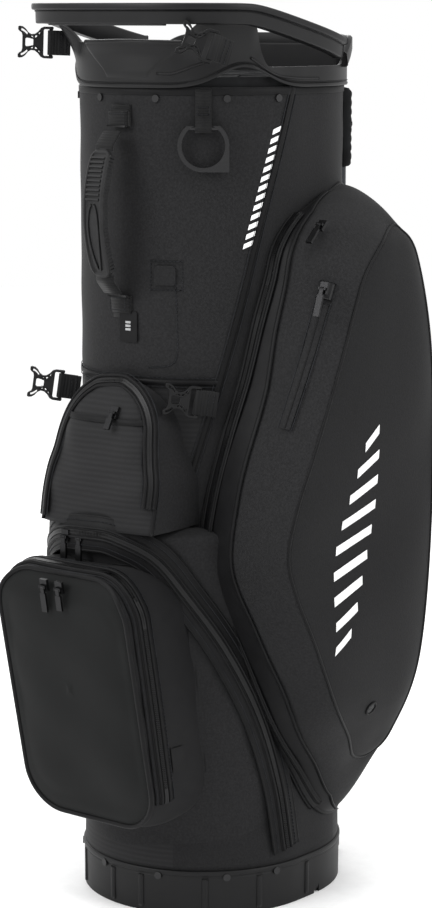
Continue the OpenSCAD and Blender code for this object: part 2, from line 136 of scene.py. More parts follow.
# a profile (across, up) carried along a path that lies on a surface
def sweepPiece(name, points, normals, profile, material, closed=False, capped=True):
    _, across, normal = pathAxes(points, normals, closed)
    prof = np.asarray(profile, float)
    grid = points[:, None] + across[:, None] * prof[None, :, :1] + normal[:, None] * prof[None, :, 1:]
    n, m = len(points), len(prof)
    faces = gridFaces(n, m, closed, True)
    flat = grid.reshape(-1, 3)
    quad = flat[faces]
    out = quad.mean(axis=1) - np.repeat(grid.mean(axis=1), m, axis=0)[:len(faces)]
    if (np.cross(quad[:, 2] - quad[:, 0], quad[:, 3] - quad[:, 1]) * out).sum() < 0:
        faces = faces[:, ::-1]
        ends = [np.arange(m), np.arange(m)[::-1] + (n - 1) * m]
    else:
        ends = [np.arange(m)[::-1], np.arange(m) + (n - 1) * m]
    faces = [list(f) for f in faces] + ([] if closed or not capped else [list(e) for e in ends])
    piece = putObject(name, flat, faces, material)
    across01 = (prof[:, 0] - prof[:, 0].min())
    run = np.concatenate([[0], np.cumsum(np.linalg.norm(np.diff(points, axis=0), axis=1))])
    addUv(piece, np.stack(np.broadcast_arrays(run[:, None], across01[None, :]), axis=-1))
    return piece


# round profile of a cord or piping, its middle lifted off the surface
def roundProfile(radius, lift=0.0, sides=10):
    t = np.linspace(0, 2 * math.pi, sides, endpoint=False)
    return np.stack([radius * np.cos(t), lift + radius * np.sin(t)], axis=1)


# flat band profile with soft edges
def bandProfile(width, thick, lift=0.0, edge=0.35):
    h, e = width / 2, min(thick * edge, width / 4)
    return np.array([[-h, lift], [-h, lift + thick - e], [-h + e, lift + thick], [h - e, lift + thick],
                     [h, lift + thick - e], [h, lift]])


# one small box per place, all in one mesh: places (n, 3), three unit axes (n, 3) each, and a half size
def manyBoxes(name, places, axes, halfSize, material, taper=1.0):
    signs = np.array([[x, y, z] for x in (-1, 1) for y in (-1, 1) for z in (-1, 1)], float)
    scale = np.where(signs[:, 2:] > 0, taper, 1.0) * [[1, 1, 0]] + [[0, 0, 1]]
    local = signs * scale * np.asarray(halfSize)
    grid = places[:, None] + sum(local[None, :, i:i + 1] * axes[i][:, None] for i in range(3))
    sides = np.array([[0, 1, 3, 2], [4, 6, 7, 5], [0, 4, 5, 1], [2, 3, 7, 6], [0, 2, 6, 4], [1, 5, 7, 3]])
    if np.linalg.det(np.stack([axes[0][0], axes[1][0], axes[2][0]])) < 0:
        sides = sides[:, ::-1]
    faces = (sides[None] + 8 * np.arange(len(places))[:, None, None]).reshape(-1, 4)
    return putObject(name, grid, faces, material, smooth=False)


def joinPieces(name, pieces):
    bpy.ops.object.select_all(action="DESELECT")
    for piece in pieces:
        piece.select_set(True)
    bpy.context.view_layer.objects.active = pieces[0]
    bpy.ops.object.join()
    pieces[0].name = name
    return pieces[0]


def bevel(piece, width, segments=2):
    mod = piece.modifiers.new("soft edges", "BEVEL")
    mod.width = width
    mod.segments = segments
    mod.limit_method = "ANGLE"
    mod.angle_limit = math.radians(35)
    return piece


def smoothStep(x, a, b):
    t = np.clip((x - a) / (b - a), 0, 1)
    return t * t * (3 - 2 * t)


print("tools ready")

# ---- camera, floor and soft studio light ----

view = {"azimuth": 39.5, "distance": 2.69, "height": 0.905, "pitch": 9.6, "turn": 0.087, "lens": 104.55}
lights = {  # name: azimuth, height, distance, size, watts
    "keyLeft": (-20, 1.9, 2.6, 1.4, 44),
    "fillRight": (100, 1.6, 2.6, 1.4, 27),
    "topSoft": (40, 3.0, 0.6, 2.0, 30),
    "rearLeft": (230, 1.6, 2.6, 1.8, 18),
}


def makeCamera():
    a = math.radians(view["azimuth"])
    data = bpy.data.cameras.new("camera")
    data.sensor_fit = "VERTICAL"
    data.sensor_height = 36.0
    data.lens = view["lens"]
    camera = bpy.data.objects.new("camera", data)
    camera.location = (view["distance"] * math.sin(a), -view["distance"] * math.cos(a), view["height"])
    camera.rotation_euler = (math.radians(90 - view["pitch"]), 0, a - math.radians(view["turn"]))
    bpy.context.scene.collection.objects.link(camera)
    bpy.context.scene.camera = camera


def makeLights():
    for name, (azimuth, height, distance, size, watts) in lights.items():
        a = math.radians(azimuth)
        data = bpy.data.lights.new(name, "AREA")
        data.shape = "DISK"
        data.size = size
        data.energy = watts
        lamp = bpy.data.objects.new(name, data)
        place = np.array([distance * math.sin(a), -distance * math.cos(a), height])
        aim = np.array([0, 0, 0.45]) - place
        lamp.location = place
        flat = math.hypot(aim[0], aim[1])
        lamp.rotation_euler = (math.atan2(flat, -aim[2]), 0, math.atan2(-aim[0], aim[1]))
        bpy.context.scene.collection.objects.link(lamp)
    world = bpy.data.worlds.new("studio")
    world.use_nodes = True
    world.node_tree.nodes["Background"].inputs["Color"].default_value = (1, 1, 1, 1)
    world.node_tree.nodes["Background"].inputs["Strength"].default_value = 1.0
    bpy.context.scene.world = world
    bpy.context.scene.view_settings.view_transform = "Standard"


# ---- materials ----

# sRGB hex to linear: the lower part of the curve is straight, the rest a power of 2.4
def linear(hexText):
    c = np.array([int(hexText[i:i + 2], 16) for i in (1, 3, 5)]) / 255
    c = np.where(c <= 0.04045, c / 12.92, ((c + 0.055) / 1.055) ** 2.4)
    return (*c.tolist(), 1.0)


# adds one node: settings are its properties, values its socket values, links where its inputs come from
def addNode(tree, kind, settings=None, values=None, links=None):
    node = tree.nodes.new(kind)
    for key, value in (settings or {}).items():
        setattr(node, key, value)
    for key, value in (values or {}).items():
        node.inputs[key].default_value = value
    for key, source in (links or {}).items():
        tree.links.new(source, node.inputs[key])
    return node


def startMaterial(name, roughness, metallic=0.0, ior=None, sheen=0.0, coat=0.0, gloss=0.5):
    material = bpy.data.materials.new(name)
    material.use_nodes = True
    tree = material.node_tree
    shader = tree.nodes["Principled BSDF"]
    shader.inputs["Roughness"].default_value = roughness
    shader.inputs["Metallic"].default_value = metallic
    shader.inputs["Specular IOR Level"].default_value = gloss
    if ior:
        shader.inputs["IOR"].default_value = ior
    if sheen:
        shader.inputs["Sheen Weight"].default_value = sheen
        shader.inputs["Sheen Roughness"].default_value = 0.45
    if coat:
        shader.inputs["Coat Weight"].default_value = coat
        shader.inputs["Coat Roughness"].default_value = 0.25
    return material, tree, shader


# mixes two colours by a factor; a colour Mix node has its colours on sockets 6 and 7, and its result on 2
def mixColours(tree, shader, dark, light, factor):
    mix = addNode(tree, "ShaderNodeMix", {"data_type": "RGBA"}, {6: linear(dark), 7: linear(light)},
                  {"Factor": factor})
    tree.links.new(mix.outputs[2], shader.inputs["Base Color"])


# mixes two colours by a noise of the given real size in millimetres, and puts the mix on the shader
def mottled(tree, shader, dark, light, sizeMm, low=0.35, high=0.65, coords=None):
    coords = coords or addNode(tree, "ShaderNodeTexCoord").outputs["Object"]
    noise = addNode(tree, "ShaderNodeTexNoise", None,
                    {"Scale": 1000 / sizeMm, "Detail": 4.0, "Roughness": 0.6},
                    {"Vector": coords})
    ramp = addNode(tree, "ShaderNodeMapRange", None, {"From Min": low, "From Max": high},
                   {"Value": noise.outputs["Fac"]})
    mixColours(tree, shader, dark, light, ramp.outputs["Result"])
    return coords, noise


def putBump(tree, shader, height, strength, distanceMm):
    bump = addNode(tree, "ShaderNodeBump", None, {"Strength": strength, "Distance": distanceMm * mm},
                   {"Height": height})
    tree.links.new(bump.outputs["Normal"], shader.inputs["Normal"])
    return bump


# Heathered polyester canvas, woven and coated behind: matt, with a fine mixed grain.
# The real thread is 0.3 mm; the grain is drawn at 2.2 mm so that it shows.
def heatherCanvas(name, dark, light, threadMm=2.2, bump=0.25):
    material, tree, shader = startMaterial(name, 0.78, sheen=0.04, gloss=0.16)
    coords, _ = mottled(tree, shader, dark, light, threadMm, 0.38, 0.66)
    weave = addNode(tree, "ShaderNodeTexVoronoi", {"feature": "F1"}, {"Scale": 1000 / 1.4},
                    {"Vector": coords})
    putBump(tree, shader, weave.outputs["Distance"], bump, 0.35)
    return material


# Fine ribbed polyester twill: level ribs 2.6 mm apart, matt with a faint sheen along each rib.
def ribbedTwill(name, dark, light, ribMm=2.6):
    material, tree, shader = startMaterial(name, 0.72, sheen=0.05, gloss=0.18)
    coords = addNode(tree, "ShaderNodeTexCoord").outputs["Object"]
    wave = addNode(tree, "ShaderNodeTexWave", {"wave_type": "BANDS", "bands_direction": "Z"},
                   {"Scale": 1000 / ribMm / 20 * math.pi, "Distortion": 0.0}, {"Vector": coords})
    noise = addNode(tree, "ShaderNodeTexNoise", None, {"Scale": 420.0, "Detail": 3.0}, {"Vector": coords})
    blend = addNode(tree, "ShaderNodeMath", {"operation": "MULTIPLY"}, None,
                    {0: wave.outputs["Fac"], 1: noise.outputs["Fac"]})
    mixColours(tree, shader, dark, light, blend.outputs["Value"])
    putBump(tree, shader, wave.outputs["Fac"], 0.35, 0.3)
    return material


# Plain weave nylon laminated to foam: smooth and matt, with a faint 1.2 mm grain.
def laminatedNylon(name, dark, light, roughness=0.66):
    material, tree, shader = startMaterial(name, roughness, sheen=0.02, gloss=0.12)
    coords, _ = mottled(tree, shader, dark, light, 14.0, 0.3, 0.7)
    grain = addNode(tree, "ShaderNodeTexNoise", None, {"Scale": 1000 / 1.2, "Detail": 2.0},
                    {"Vector": coords})
    putBump(tree, shader, grain.outputs["Fac"], 0.18, 0.25)
    return material


# Injection moulded plastic: satin, spark-eroded grain about 1 mm, tone and roughness varying at random over 30
# mm.
def mouldedPlastic(name, dark, light, roughness=0.45, grainMm=1.1, bump=0.08):
    material, tree, shader = startMaterial(name, roughness, ior=1.5, gloss=0.22)
    coords, noise = mottled(tree, shader, dark, light, 30.0, 0.35, 0.7)
    grain = addNode(tree, "ShaderNodeTexNoise", None, {"Scale": 1000 / grainMm, "Detail": 2.0},
                    {"Vector": coords})
    putBump(tree, shader, grain.outputs["Fac"], bump, 0.2)
    rough = addNode(tree, "ShaderNodeMapRange", None,
                    {"To Min": roughness - 0.06, "To Max": roughness + 0.08},
                    {"Value": noise.outputs["Fac"]})
    tree.links.new(rough.outputs["Result"], shader.inputs["Roughness"])
    return material


# Nylon webbing, woven in a herringbone: ribs run along the band's own UV, 1.6 mm apart.
def wovenWebbing(name, dark, light):
    material, tree, shader = startMaterial(name, 0.7, sheen=0.08, gloss=0.2)
    uv = addNode(tree, "ShaderNodeTexCoord").outputs["UV"]
    ribs = addNode(tree, "ShaderNodeTexWave", {"wave_type": "BANDS", "bands_direction": "X"},
                   {"Scale": 1000 / 1.6 / 20 * math.pi, "Distortion": 1.5, "Detail": 1.0,
                    "Detail Scale": 3.0},
                   {"Vector": uv})
    mixColours(tree, shader, dark, light, ribs.outputs["Fac"])
    putBump(tree, shader, ribs.outputs["Fac"], 0.5, 0.35)
    return material


# Die-cast or drawn metal with a plated or painted skin: brushed lines 0.4 mm apart along one axis.
def finishedMetal(name, dark, light, roughness, metallic, stretch=(1, 1, 0.05)):
    material, tree, shader = startMaterial(name, roughness, metallic)
    coords = addNode(tree, "ShaderNodeTexCoord").outputs["Object"]
    turned = addNode(tree, "ShaderNodeMapping", None, {"Scale": stretch}, {"Vector": coords})
    mottled(tree, shader, dark, light, 0.8, 0.3, 0.7, turned.outputs["Vector"])
    lines = addNode(tree, "ShaderNodeTexNoise", None, {"Scale": 2500.0, "Detail": 2.0},
                    {"Vector": turned.outputs["Vector"]})
    putBump(tree, shader, lines.outputs["Fac"], 0.06, 0.1)
    return material


def mouldedRubber(name, dark, light):
    material, tree, shader = startMaterial(name, 0.62, ior=1.52, gloss=0.3)
    coords, _ = mottled(tree, shader, dark, light, 9.0)
    grain = addNode(tree, "ShaderNodeTexNoise", None, {"Scale": 900.0, "Detail": 3.0}, {"Vector": coords})
    putBump(tree, shader, grain.outputs["Fac"], 0.15, 0.25)
    return material


makeCamera()
makeLights()
canvas = heatherCanvas("bodyHeatherCanvas", "#141415", "#1e1e1f")
canvasDark = heatherCanvas("panelHeatherCanvas", "#131314", "#1c1c1d", 1.8)
faceCanvas = heatherCanvas("faceHeatherCanvas", "#0f0f10", "#161617", 1.8)
twill = ribbedTwill("pocketRibbedTwill", "#151516", "#202021")
faceNylon = laminatedNylon("faceLaminatedNylon", "#0d0e0e", "#0f1010")
gussetNylon = laminatedNylon("gussetLaminatedNylon", "#111112", "#151516")
zipNylon = laminatedNylon("zipPanelWeldedNylon", "#0c0c0d", "#121213", 0.5)
trimNylon = laminatedNylon("trimBoundNylon", "#0a0a0b", "#101011", 0.55)
cuffPlastic = mouldedPlastic("cuffMouldedPlastic", "#0c0c0d", "#111112", 0.42)
basePlastic = mouldedPlastic("baseMouldedPlastic", "#09090a", "#0e0e0f", 0.48)
bucklePlastic = mouldedPlastic("buckleMouldedAcetal", "#070708", "#0c0c0d", 0.35)
tabPlastic = mouldedPlastic("pullMouldedPlastic", "#141516", "#1e1f20", 0.4)
webbing = wovenWebbing("strapWovenNylon", "#050506", "#0c0c0d")
coilNylon = mouldedPlastic("zipCoilNylon", "#060607", "#0d0d0e", 0.4)
cordNylon = laminatedNylon("pipingCoveredCord", "#080809", "#0e0e0f", 0.5)
gunmetal = finishedMetal("zipDieCastGunmetal", "#1b1b1c", "#2b2b2c", 0.32, 0.85, (1, 1, 1))
ringMetal = finishedMetal("ringPaintedZinc", "#19191a", "#262627", 0.38, 0.5, (1, 1, 1))
steel = finishedMetal("wireDrawnSteel", "#3a3b3d", "#55575a", 0.3, 1.0)
legMetal = finishedMetal("legAnodisedAluminium", "#26272a", "#35373a", 0.34, 0.8)
rubber = mouldedRubber("footMouldedRubber", "#0c0c0d", "#141415")
gripRubber = mouldedRubber("gripMouldedRubber", "#0e0e0f", "#171718")
whiteFilm = laminatedNylon("markHeatPressedFilm", "#e8e8e8", "#f4f4f4", 0.5)
greyFilm = laminatedNylon("markGreyFilm", "#8c8d8e", "#a2a3a4", 0.45)
dividerKnit = laminatedNylon("dividerBrushedKnit", "#080809", "#0f0f10", 0.9)
gridKnit = laminatedNylon("gridPaddedKnit", "#101011", "#191a1b", 0.85)
floorMaterial = laminatedNylon("floorPaper", "#fafafa", "#ffffff", 0.9)
print("camera, lights and materials ready")


# floor: a round pale sheet under the bag
def makeFloor():
    t = np.linspace(0, 2 * math.pi, 96, endpoint=False)
    rim = np.stack([6 * np.cos(t), 6 * np.sin(t), 0 * t - 0.0004], axis=-1)
    putObject("floor", rim, [range(len(t))], floorMaterial, smooth=False)


makeFloor()


# ---- the surfaces that pieces lie on ----

tube = {"radius": 0.125, "half": 0.013, "back": 0.118, "low": 0.045, "top": 0.830}
quarter = tube["radius"] * math.pi / 2
rearTurn = math.asin((tube["back"] - tube["half"]) / tube["radius"])
flatHalf = tube["radius"] * math.cos(rearTurn)
halfRound = quarter + 2 * tube["half"] + tube["radius"] * rearTurn + flatHalf


# place and outward direction s metres round the body from the middle of its front, o metres proud of it:
# a quarter circle, a short straight, part of a circle, then the flat back
def tubePoint(s, z, o=0.0):
    s, z, o = np.broadcast_arrays(np.asarray(s, float), np.asarray(z, float), np.asarray(o, float))
    r, h = tube["radius"], tube["half"]
    a, sign = np.abs(s), np.where(s < 0, -1.0, 1.0)
    t1 = a / r
    t3 = np.clip((a - quarter - 2 * h) / r, 0, rearTurn)
    stretch = [a < quarter, a < quarter + 2 * h, a < halfRound - flatHalf]
    nx = np.select(stretch, [np.sin(t1), 1 + 0 * a, np.cos(t3)], 0.0)
    ny = np.select(stretch, [-np.cos(t1), 0 * a, np.sin(t3)], 1.0)
    x = np.select(stretch, [r * np.sin(t1), r + 0 * a, r * np.cos(t3)], halfRound - a) + o * nx
    y = np.select(stretch, [-h - r * np.cos(t1), a - quarter - h, h + r * np.sin(t3)],
                  tube["back"]) + o * ny
    return np.stack([sign * x, y, z], axis=-1), np.stack([sign * nx, ny, 0 * nx], axis=-1)


# metres round the front for an angle from straight ahead
def atAngle(degrees):
    return tube["radius"] * np.radians(degrees)


lean = {"radius": 0.122, "y": -0.014, "z": 0.056, "tilt": math.radians(8.6), "top": 0.398}


# the lower front pocket's skin: a round column that leans out over the front
def leanPoint(angle, z, o=0.0):
    angle, z, o = np.broadcast_arrays(np.asarray(angle, float), np.asarray(z, float), np.asarray(o, float))
    t = np.radians(angle)
    yc = lean["y"] - (z - lean["z"]) * math.tan(lean["tilt"])
    r = lean["radius"] + o
    k = math.sin(lean["tilt"])
    p = np.stack([r * np.sin(t), yc - r * np.cos(t) / math.cos(lean["tilt"]), z], axis=-1)
    return p, unit(np.stack([np.sin(t), -np.cos(t), k * np.cos(t)], axis=-1))


# metres round the body for a place y metres behind the axis
def atDepth(y):
    r, h = tube["radius"], tube["half"]
    front = r * np.arccos(np.clip((-h - y) / r, -1, 1))
    rear = quarter + 2 * h + r * np.arcsin(np.clip((y - h) / r, 0, 1))
    return np.select([y < -h, y < h], [front, quarter + y + h], rear)


# a smooth path on the body through (degrees, height in mm)
def tubePath(route, step=0.004, o=0.0):
    route = np.asarray(route, float)
    flat = np.stack([atAngle(route[:, 0]), route[:, 1] * mm], axis=1)
    flat = evenPath(smoothPath(flat, 40 * len(route)), step)
    return tubePoint(flat[:, 0], flat[:, 1], o)


def leanPath(route, step=0.004, o=0.0):
    flat = smoothPath(np.asarray(route, float) * [1, mm], 40 * len(route))
    scaled = evenPath(flat * [lean["radius"] * math.radians(1), 1],
                      step) / [lean["radius"] * math.radians(1), 1]
    return leanPoint(scaled[:, 0], scaled[:, 1], o)


# gentle unevenness of sewn cloth: sine waves of a given length that cross each other
def clothWaves(p, size, amount):
    k = 2 * math.pi / size
    x, y, z = p[..., 0], p[..., 1], p[..., 2]
    first = np.sin(k * (x + 0.6 * z)) * np.sin(k * (0.8 * y - 0.5 * z) + 1.3)
    second = np.sin(1.7 * k * (z - 0.4 * x) + 0.7 * np.sin(k * y))
    return amount * (first + 0.5 * second)[..., None]


def attach(piece, body, slot, *nodes):
    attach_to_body(piece, body)
    if nodes:
        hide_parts(*nodes)
    return piece


# stitches: short raised dashes along paths, each path a pair of points and normals
def stitchRow(name, paths, body, slot, pitch=0.0042, length=0.0027, width=0.0007, lift=0.0004):
    places, alongs, acrosses, normals = [], [], [], []
    for points, normal in paths:
        both = evenPath(np.hstack([points, normal]), 0.001)
        both = both[:: max(1, int(round(pitch / 0.001)))]
        along, across, up = pathAxes(both[:, :3], both[:, 3:])
        places.append(both[:, :3] + lift * up)
        alongs.append(along)
        acrosses.append(across)
        normals.append(up)
    axes = [np.concatenate(a) for a in (alongs, acrosses, normals)]
    piece = manyBoxes(name, np.concatenate(places), axes, (length / 2, width / 2, 0.00035), threadNylon,
                      0.6)
    return attach(piece, body, slot)


# a path moved sideways within its surface
def beside(path, distance, closed=False):
    points, normals = path
    _, across, up = pathAxes(points, normals, closed)
    return points + distance * across, up


def lifted(path, height):
    return path[0] + height * path[1], path[1]


# a zip: woven tape, two rows of coil teeth that mesh in the middle, and a lip of cloth along each side
zipSizes = {"tape": 0.022, "tooth": 0.0022, "toothSize": (0.0016, 0.0007, 0.0006), "lip": 0.0016}


def makeZip(name, path, body, slot, width=None):
    points, normals = path
    width = width or zipSizes["tape"]
    tape = sweepPiece(name + "_tape", points, normals, bandProfile(width, 0.0009, 0.0003), zipNylon)
    attach(tape, body, slot)
    both = evenPath(np.hstack([points, normals]), zipSizes["tooth"] / 2)
    along, across, up = pathAxes(both[:, :3], both[:, 3:])
    sign = np.where(np.arange(len(both)) % 2 == 0, 1.0, -1.0)[:, None]
    places = both[:, :3] + 0.0011 * sign * across + 0.0016 * up
    attach(manyBoxes(name + "_coil", places, [across, along, up], zipSizes["toothSize"], coilNylon, 0.7),
           body, slot)
    for side, tag in ((-1, "left"), (1, "right")):
        lip = sweepPiece(name + "_lip_" + tag, *beside(path, side * 0.0052),
                         roundProfile(zipSizes["lip"], 0.0012, 8), cordNylon)
        attach(lip, body, slot)


# a fan of rings that closes on one point; rings is (k, n, 3), the last ring next to the pole
def fanPiece(name, rings, pole, material, outward):
    k, n = rings.shape[:2]
    quads = gridFaces(k, n, False, True)
    last = (k - 1) * n + np.arange(n)
    fan = np.stack([last, np.roll(last, -1), np.full(n, k * n)], axis=1)
    flat = np.vstack([rings.reshape(-1, 3), [pole]])
    q = flat[quads]
    if (np.cross(q[:, 1] - q[:, 0], q[:, 3] - q[:, 0]) @ np.asarray(outward)).sum() < 0:
        quads, fan = quads[:, ::-1], fan
    else:
        fan = fan[:, ::-1]
    t = flat[fan]
    if (np.cross(t[:, 1] - t[:, 0], t[:, 2] - t[:, 0]) @ np.asarray(outward)).sum() < 0:
        fan = fan[:, ::-1]
    return putObject(name, flat, quads.tolist() + fan.tolist(), material)


# a gusset: straight across from a loop on the bag to a seam loop, bulging outwards, most of it halfway
def gussetPoint(low, high, v, bulge, outward):
    return low + (high - low) * v + outward * bulge * math.sin(math.pi * min(max(v, 0), 1)) ** 0.8


def gussetGrid(low, high, bulge, outward, rows=18):
    return np.stack([gussetPoint(low, high, v, bulge, outward) for v in np.linspace(0, 1, rows)])


# a line on a gusset a given share of the way across, v being one value or one for each point
def gussetPath(low, high, v, bulge, outward, closed=True):
    v = np.broadcast_to(np.asarray(v, float).reshape(-1, 1) if np.ndim(v) else v, (len(low), 1))
    height = np.sin(math.pi * np.clip(v, 0, 1)) ** 0.8
    p = low + (high - low) * v + outward * bulge * height
    step = 0.02
    height2 = np.sin(math.pi * np.clip(v + step, 0, 1)) ** 0.8
    q = low + (high - low) * (v + step) + outward * bulge * height2
    along = np.roll(p, -1, axis=0) - np.roll(p, 1, axis=0) if closed else np.gradient(p, axis=0)
    normal = unit(np.cross(along, q - p))
    normal *= np.where((normal * outward).sum(axis=1, keepdims=True) < 0, -1.0, 1.0)
    return p, normal


threadNylon = laminatedNylon("threadNylon", "#17181a", "#26272a", 0.6)

# ---- fabric body ----

body = {"low": 0.0455, "top": 0.8296, "cloth": 0.0025, "midSeam": 543,
        "panelSeam": [(84, 829), (67, 706), (51, 575), (25, 390)]}


# side of the panel seam that a place on the body's front is on, 1 to the right of it
def rightOfSeam(degrees, z):
    seam = smoothPath(np.array(body["panelSeam"], float), 80)
    order = np.argsort(seam[:, 1])
    return degrees > np.interp(z / mm, seam[order, 1], seam[order, 0])


def makeBody():
    s = np.linspace(-halfRound, halfRound, 168, endpoint=False)
    z = np.linspace(body["low"], body["top"], 130)
    points, normals = tubePoint(s[:, None], z[None, :], 0.0)
    seamDip = 0.0007 * np.exp(-((z - body["midSeam"] * mm) / 0.006) ** 2)
    ends = smoothStep(z, 0.045, 0.09) * smoothStep(z, 0.83, 0.80)
    flatBack = smoothStep(np.abs(s), halfRound - 0.06, halfRound - 0.11)
    waves = clothWaves(points, 0.11, 0.00035)[..., 0] - 0.0005
    points = points + ((waves * flatBack[:, None] * ends) - seamDip * ends)[..., None] * normals
    shell = gridPiece("body_fabric", points, canvas, closeU=True, outward=normals,
                      thick=body["cloth"] - 0.0003)
    shell.data.materials.append(twill)
    shell.data.materials.append(canvasDark)
    centre = np.empty(len(shell.data.polygons) * 3)
    shell.data.polygons.foreach_get("center", centre)
    centre = centre.reshape(-1, 3)
    degrees = np.degrees(np.arctan2(centre[:, 0], -0.013 - centre[:, 1]))
    index = np.where(centre[:, 2] < body["midSeam"] * mm, 1, 0)
    index = np.where((degrees > 0) & (degrees < 120) & rightOfSeam(degrees, centre[:, 2]), 2, index)
    shell.data.polygons.foreach_set("material_index", index.astype(np.int32))
    attach(shell, "bag", "body_fabric", "body_shell")
    mid = tubePath([(-178, 543), (-120, 543), (-60, 543), (0, 543), (46, 543)], 0.005)
    fold = sweepPiece("body_mid_seam", *mid, bandProfile(0.0048, 0.0009, 0.0), cordNylon)
    attach(fold, "bag", "body_fabric")
    panel = tubePath(body["panelSeam"], 0.005)
    attach(sweepPiece("body_panel_seam", *panel, bandProfile(0.0052, 0.0010, 0.0), cordNylon), "bag",
           "body_fabric")
    top = tubePoint(np.linspace(-halfRound, halfRound, 200, endpoint=False), 0.8255)
    attach(sweepPiece("body_top_binding", *top, bandProfile(0.007, 0.0008, 0.0), trimNylon, closed=True),
           "bag", "body_fabric")
    rows = [beside(mid, 0.0045), beside(mid, -0.0045), beside(panel, 0.0048), beside(panel, -0.0048)]
    # the faint square of stitching beside the glove patch
    a0, a1, z0, z1 = 15, 30, 634, 662
    rows += [tubePath([(a0, z0), (a0, z1)]), tubePath([(a1, z0), (a1, z1)]), tubePath([(a0, z0), (a1, z0)]),
             tubePath([(a0, z1), (a1, z1)])]
    # and the hidden pocket below it, stitched down its right side and along its foot
    rows += [tubePath([(27, 640), (27.5, 600), (27.5, 570), (24, 560), (14, 557)])]
    stitchRow("body_stitches", rows, "bag", "body_fabric")
    # plain slanted bars beside the panel seam, heat pressed
    points, normals = tubePath([(74.2, 788), (67.5, 738), (59.7, 678)], 0.0005)
    along, across, up = pathAxes(points, normals)
    pick = np.linspace(0, len(points) - 1, 13).astype(int)
    slanted = unit(across + 0.75 * along)
    bars = manyBoxes("body_bar_mark", points[pick] + up[pick] * 0.0003,
                     [along[pick], slanted[pick], up[pick]], (0.0026, 0.0050, 0.0003), whiteFilm)
    attach(bars, "bag", "body_fabric")


makeBody()
print("body ready")

# ---- base ----

base = {"lip": 0.0022,
        "ribs": [(-70, 3.2), (-38, 3.2), (-8, 3.4), (9, 3.4), (40, 3.4), (66, 3.2), (96, 3), (-100, 3)]}


def makeBase():
    s = np.linspace(-halfRound, halfRound, 240, endpoint=False)
    # wall from the sole's rounded edge up to a lip: outward offset and height in mm
    wall = np.array([(-9, 0.15), (-4.5, 0.35), (-1.6, 1.4), (0.1, 4.0), (1.0, 8.5), (1.2, 30), (1.2, 38.4),
                     (0.5, 38.9), (0.5, 39.7), (1.9, 40.3), (2.2, 41.6), (2.2, 44.3), (1.7, 45.4),
                     (0.25, 45.6)])
    wall = evenPath(wall, 1.0)
    points, normals = tubePoint(s[:, None], wall[None, :, 1] * mm, wall[None, :, 0] * mm)
    shell = gridPiece("base_outer_wall", points, basePlastic, closeU=True, outward=normals)
    attach(shell, "bag", "moulded_plastic")
    pieces = []
    for degrees, width in base["ribs"]:
        z = np.linspace(4, 38, 12) * mm
        path = tubePoint(np.full(12, atAngle(degrees)), z, 0.0011)
        rib = sweepPiece("rib", *path, roundProfile(width * mm, 0.0, 12) * [1.0, 0.55], basePlastic)
        pieces.append(rib)
    ribs = joinPieces("base_boss_ribs", pieces)
    attach(ribs, "bag", "moulded_plastic")


makeBase()
print("base ready")


# ---- cuff: collar, front panel, webs and the grab rim ----

cuff = {"low": 0.829, "arch": 0.020, "archAt": 56, "archWidth": 15, "frontTop": 0.872, "sideTop": 0.849,
        "rearTop": 0.867, "backTop": 0.869, "rimTop": 0.910, "band": 0.020, "proud": 0.0035, "thick": 0.003,
        "webRight": (33, 62), "webLeft": (-58, -36), "fall": math.radians(13)}


# angle round the body: 0 in front, 90 at the side, 180 behind
def angleOf(s):
    a = np.interp(np.abs(s), [0, quarter, quarter + 2 * tube["half"], halfRound], [0, 88, 92, 180])
    return np.where(s < 0, -a, a)


def cuffLow(angle):
    return cuff["low"] + cuff["arch"] * np.exp(-((np.abs(angle) - cuff["archAt"]) / cuff["archWidth"]) ** 2)


# how much of the web there is at an angle: 1 inside it, 0 outside, with soft ends
def webShare(angle):
    right = smoothStep(angle, cuff["webRight"][0] - 6, cuff["webRight"][0] + 5)
    right = right * smoothStep(angle, cuff["webRight"][1] + 6, cuff["webRight"][1] - 5)
    left = smoothStep(angle, cuff["webLeft"][0] - 5, cuff["webLeft"][0] + 4)
    left = left * smoothStep(angle, cuff["webLeft"][1] + 5, cuff["webLeft"][1] - 4)
    return np.maximum(left, right)


def cuffTop(angle):
    a = np.abs(angle)
    top = cuff["frontTop"] + (cuff["sideTop"] - cuff["frontTop"]) * smoothStep(a, 38, 62)
    top = top + (cuff["rearTop"] - cuff["sideTop"]) * smoothStep(a, 108, 128)
    top = top + (cuff["backTop"] - cuff["rearTop"]) * smoothStep(a, 142, 160)
    web = webShare(angle)
    return top * (1 - web) + (cuff["rimTop"] - cuff["band"] + 0.001) * web


# how far the collar stands proud: a little everywhere, and out to the rim's foot where a web climbs
def cuffProud(angle, z):
    web = webShare(angle)
    climb = np.clip((z - 0.852) / (cuff["rimTop"] - cuff["band"] - 0.852), 0, 1) ** 1.5
    return cuff["proud"] + web * climb * 0.0185 + 0.0015 * smoothStep(np.abs(angle), 36,
                                                                      20) * smoothStep(z, .86, .872)


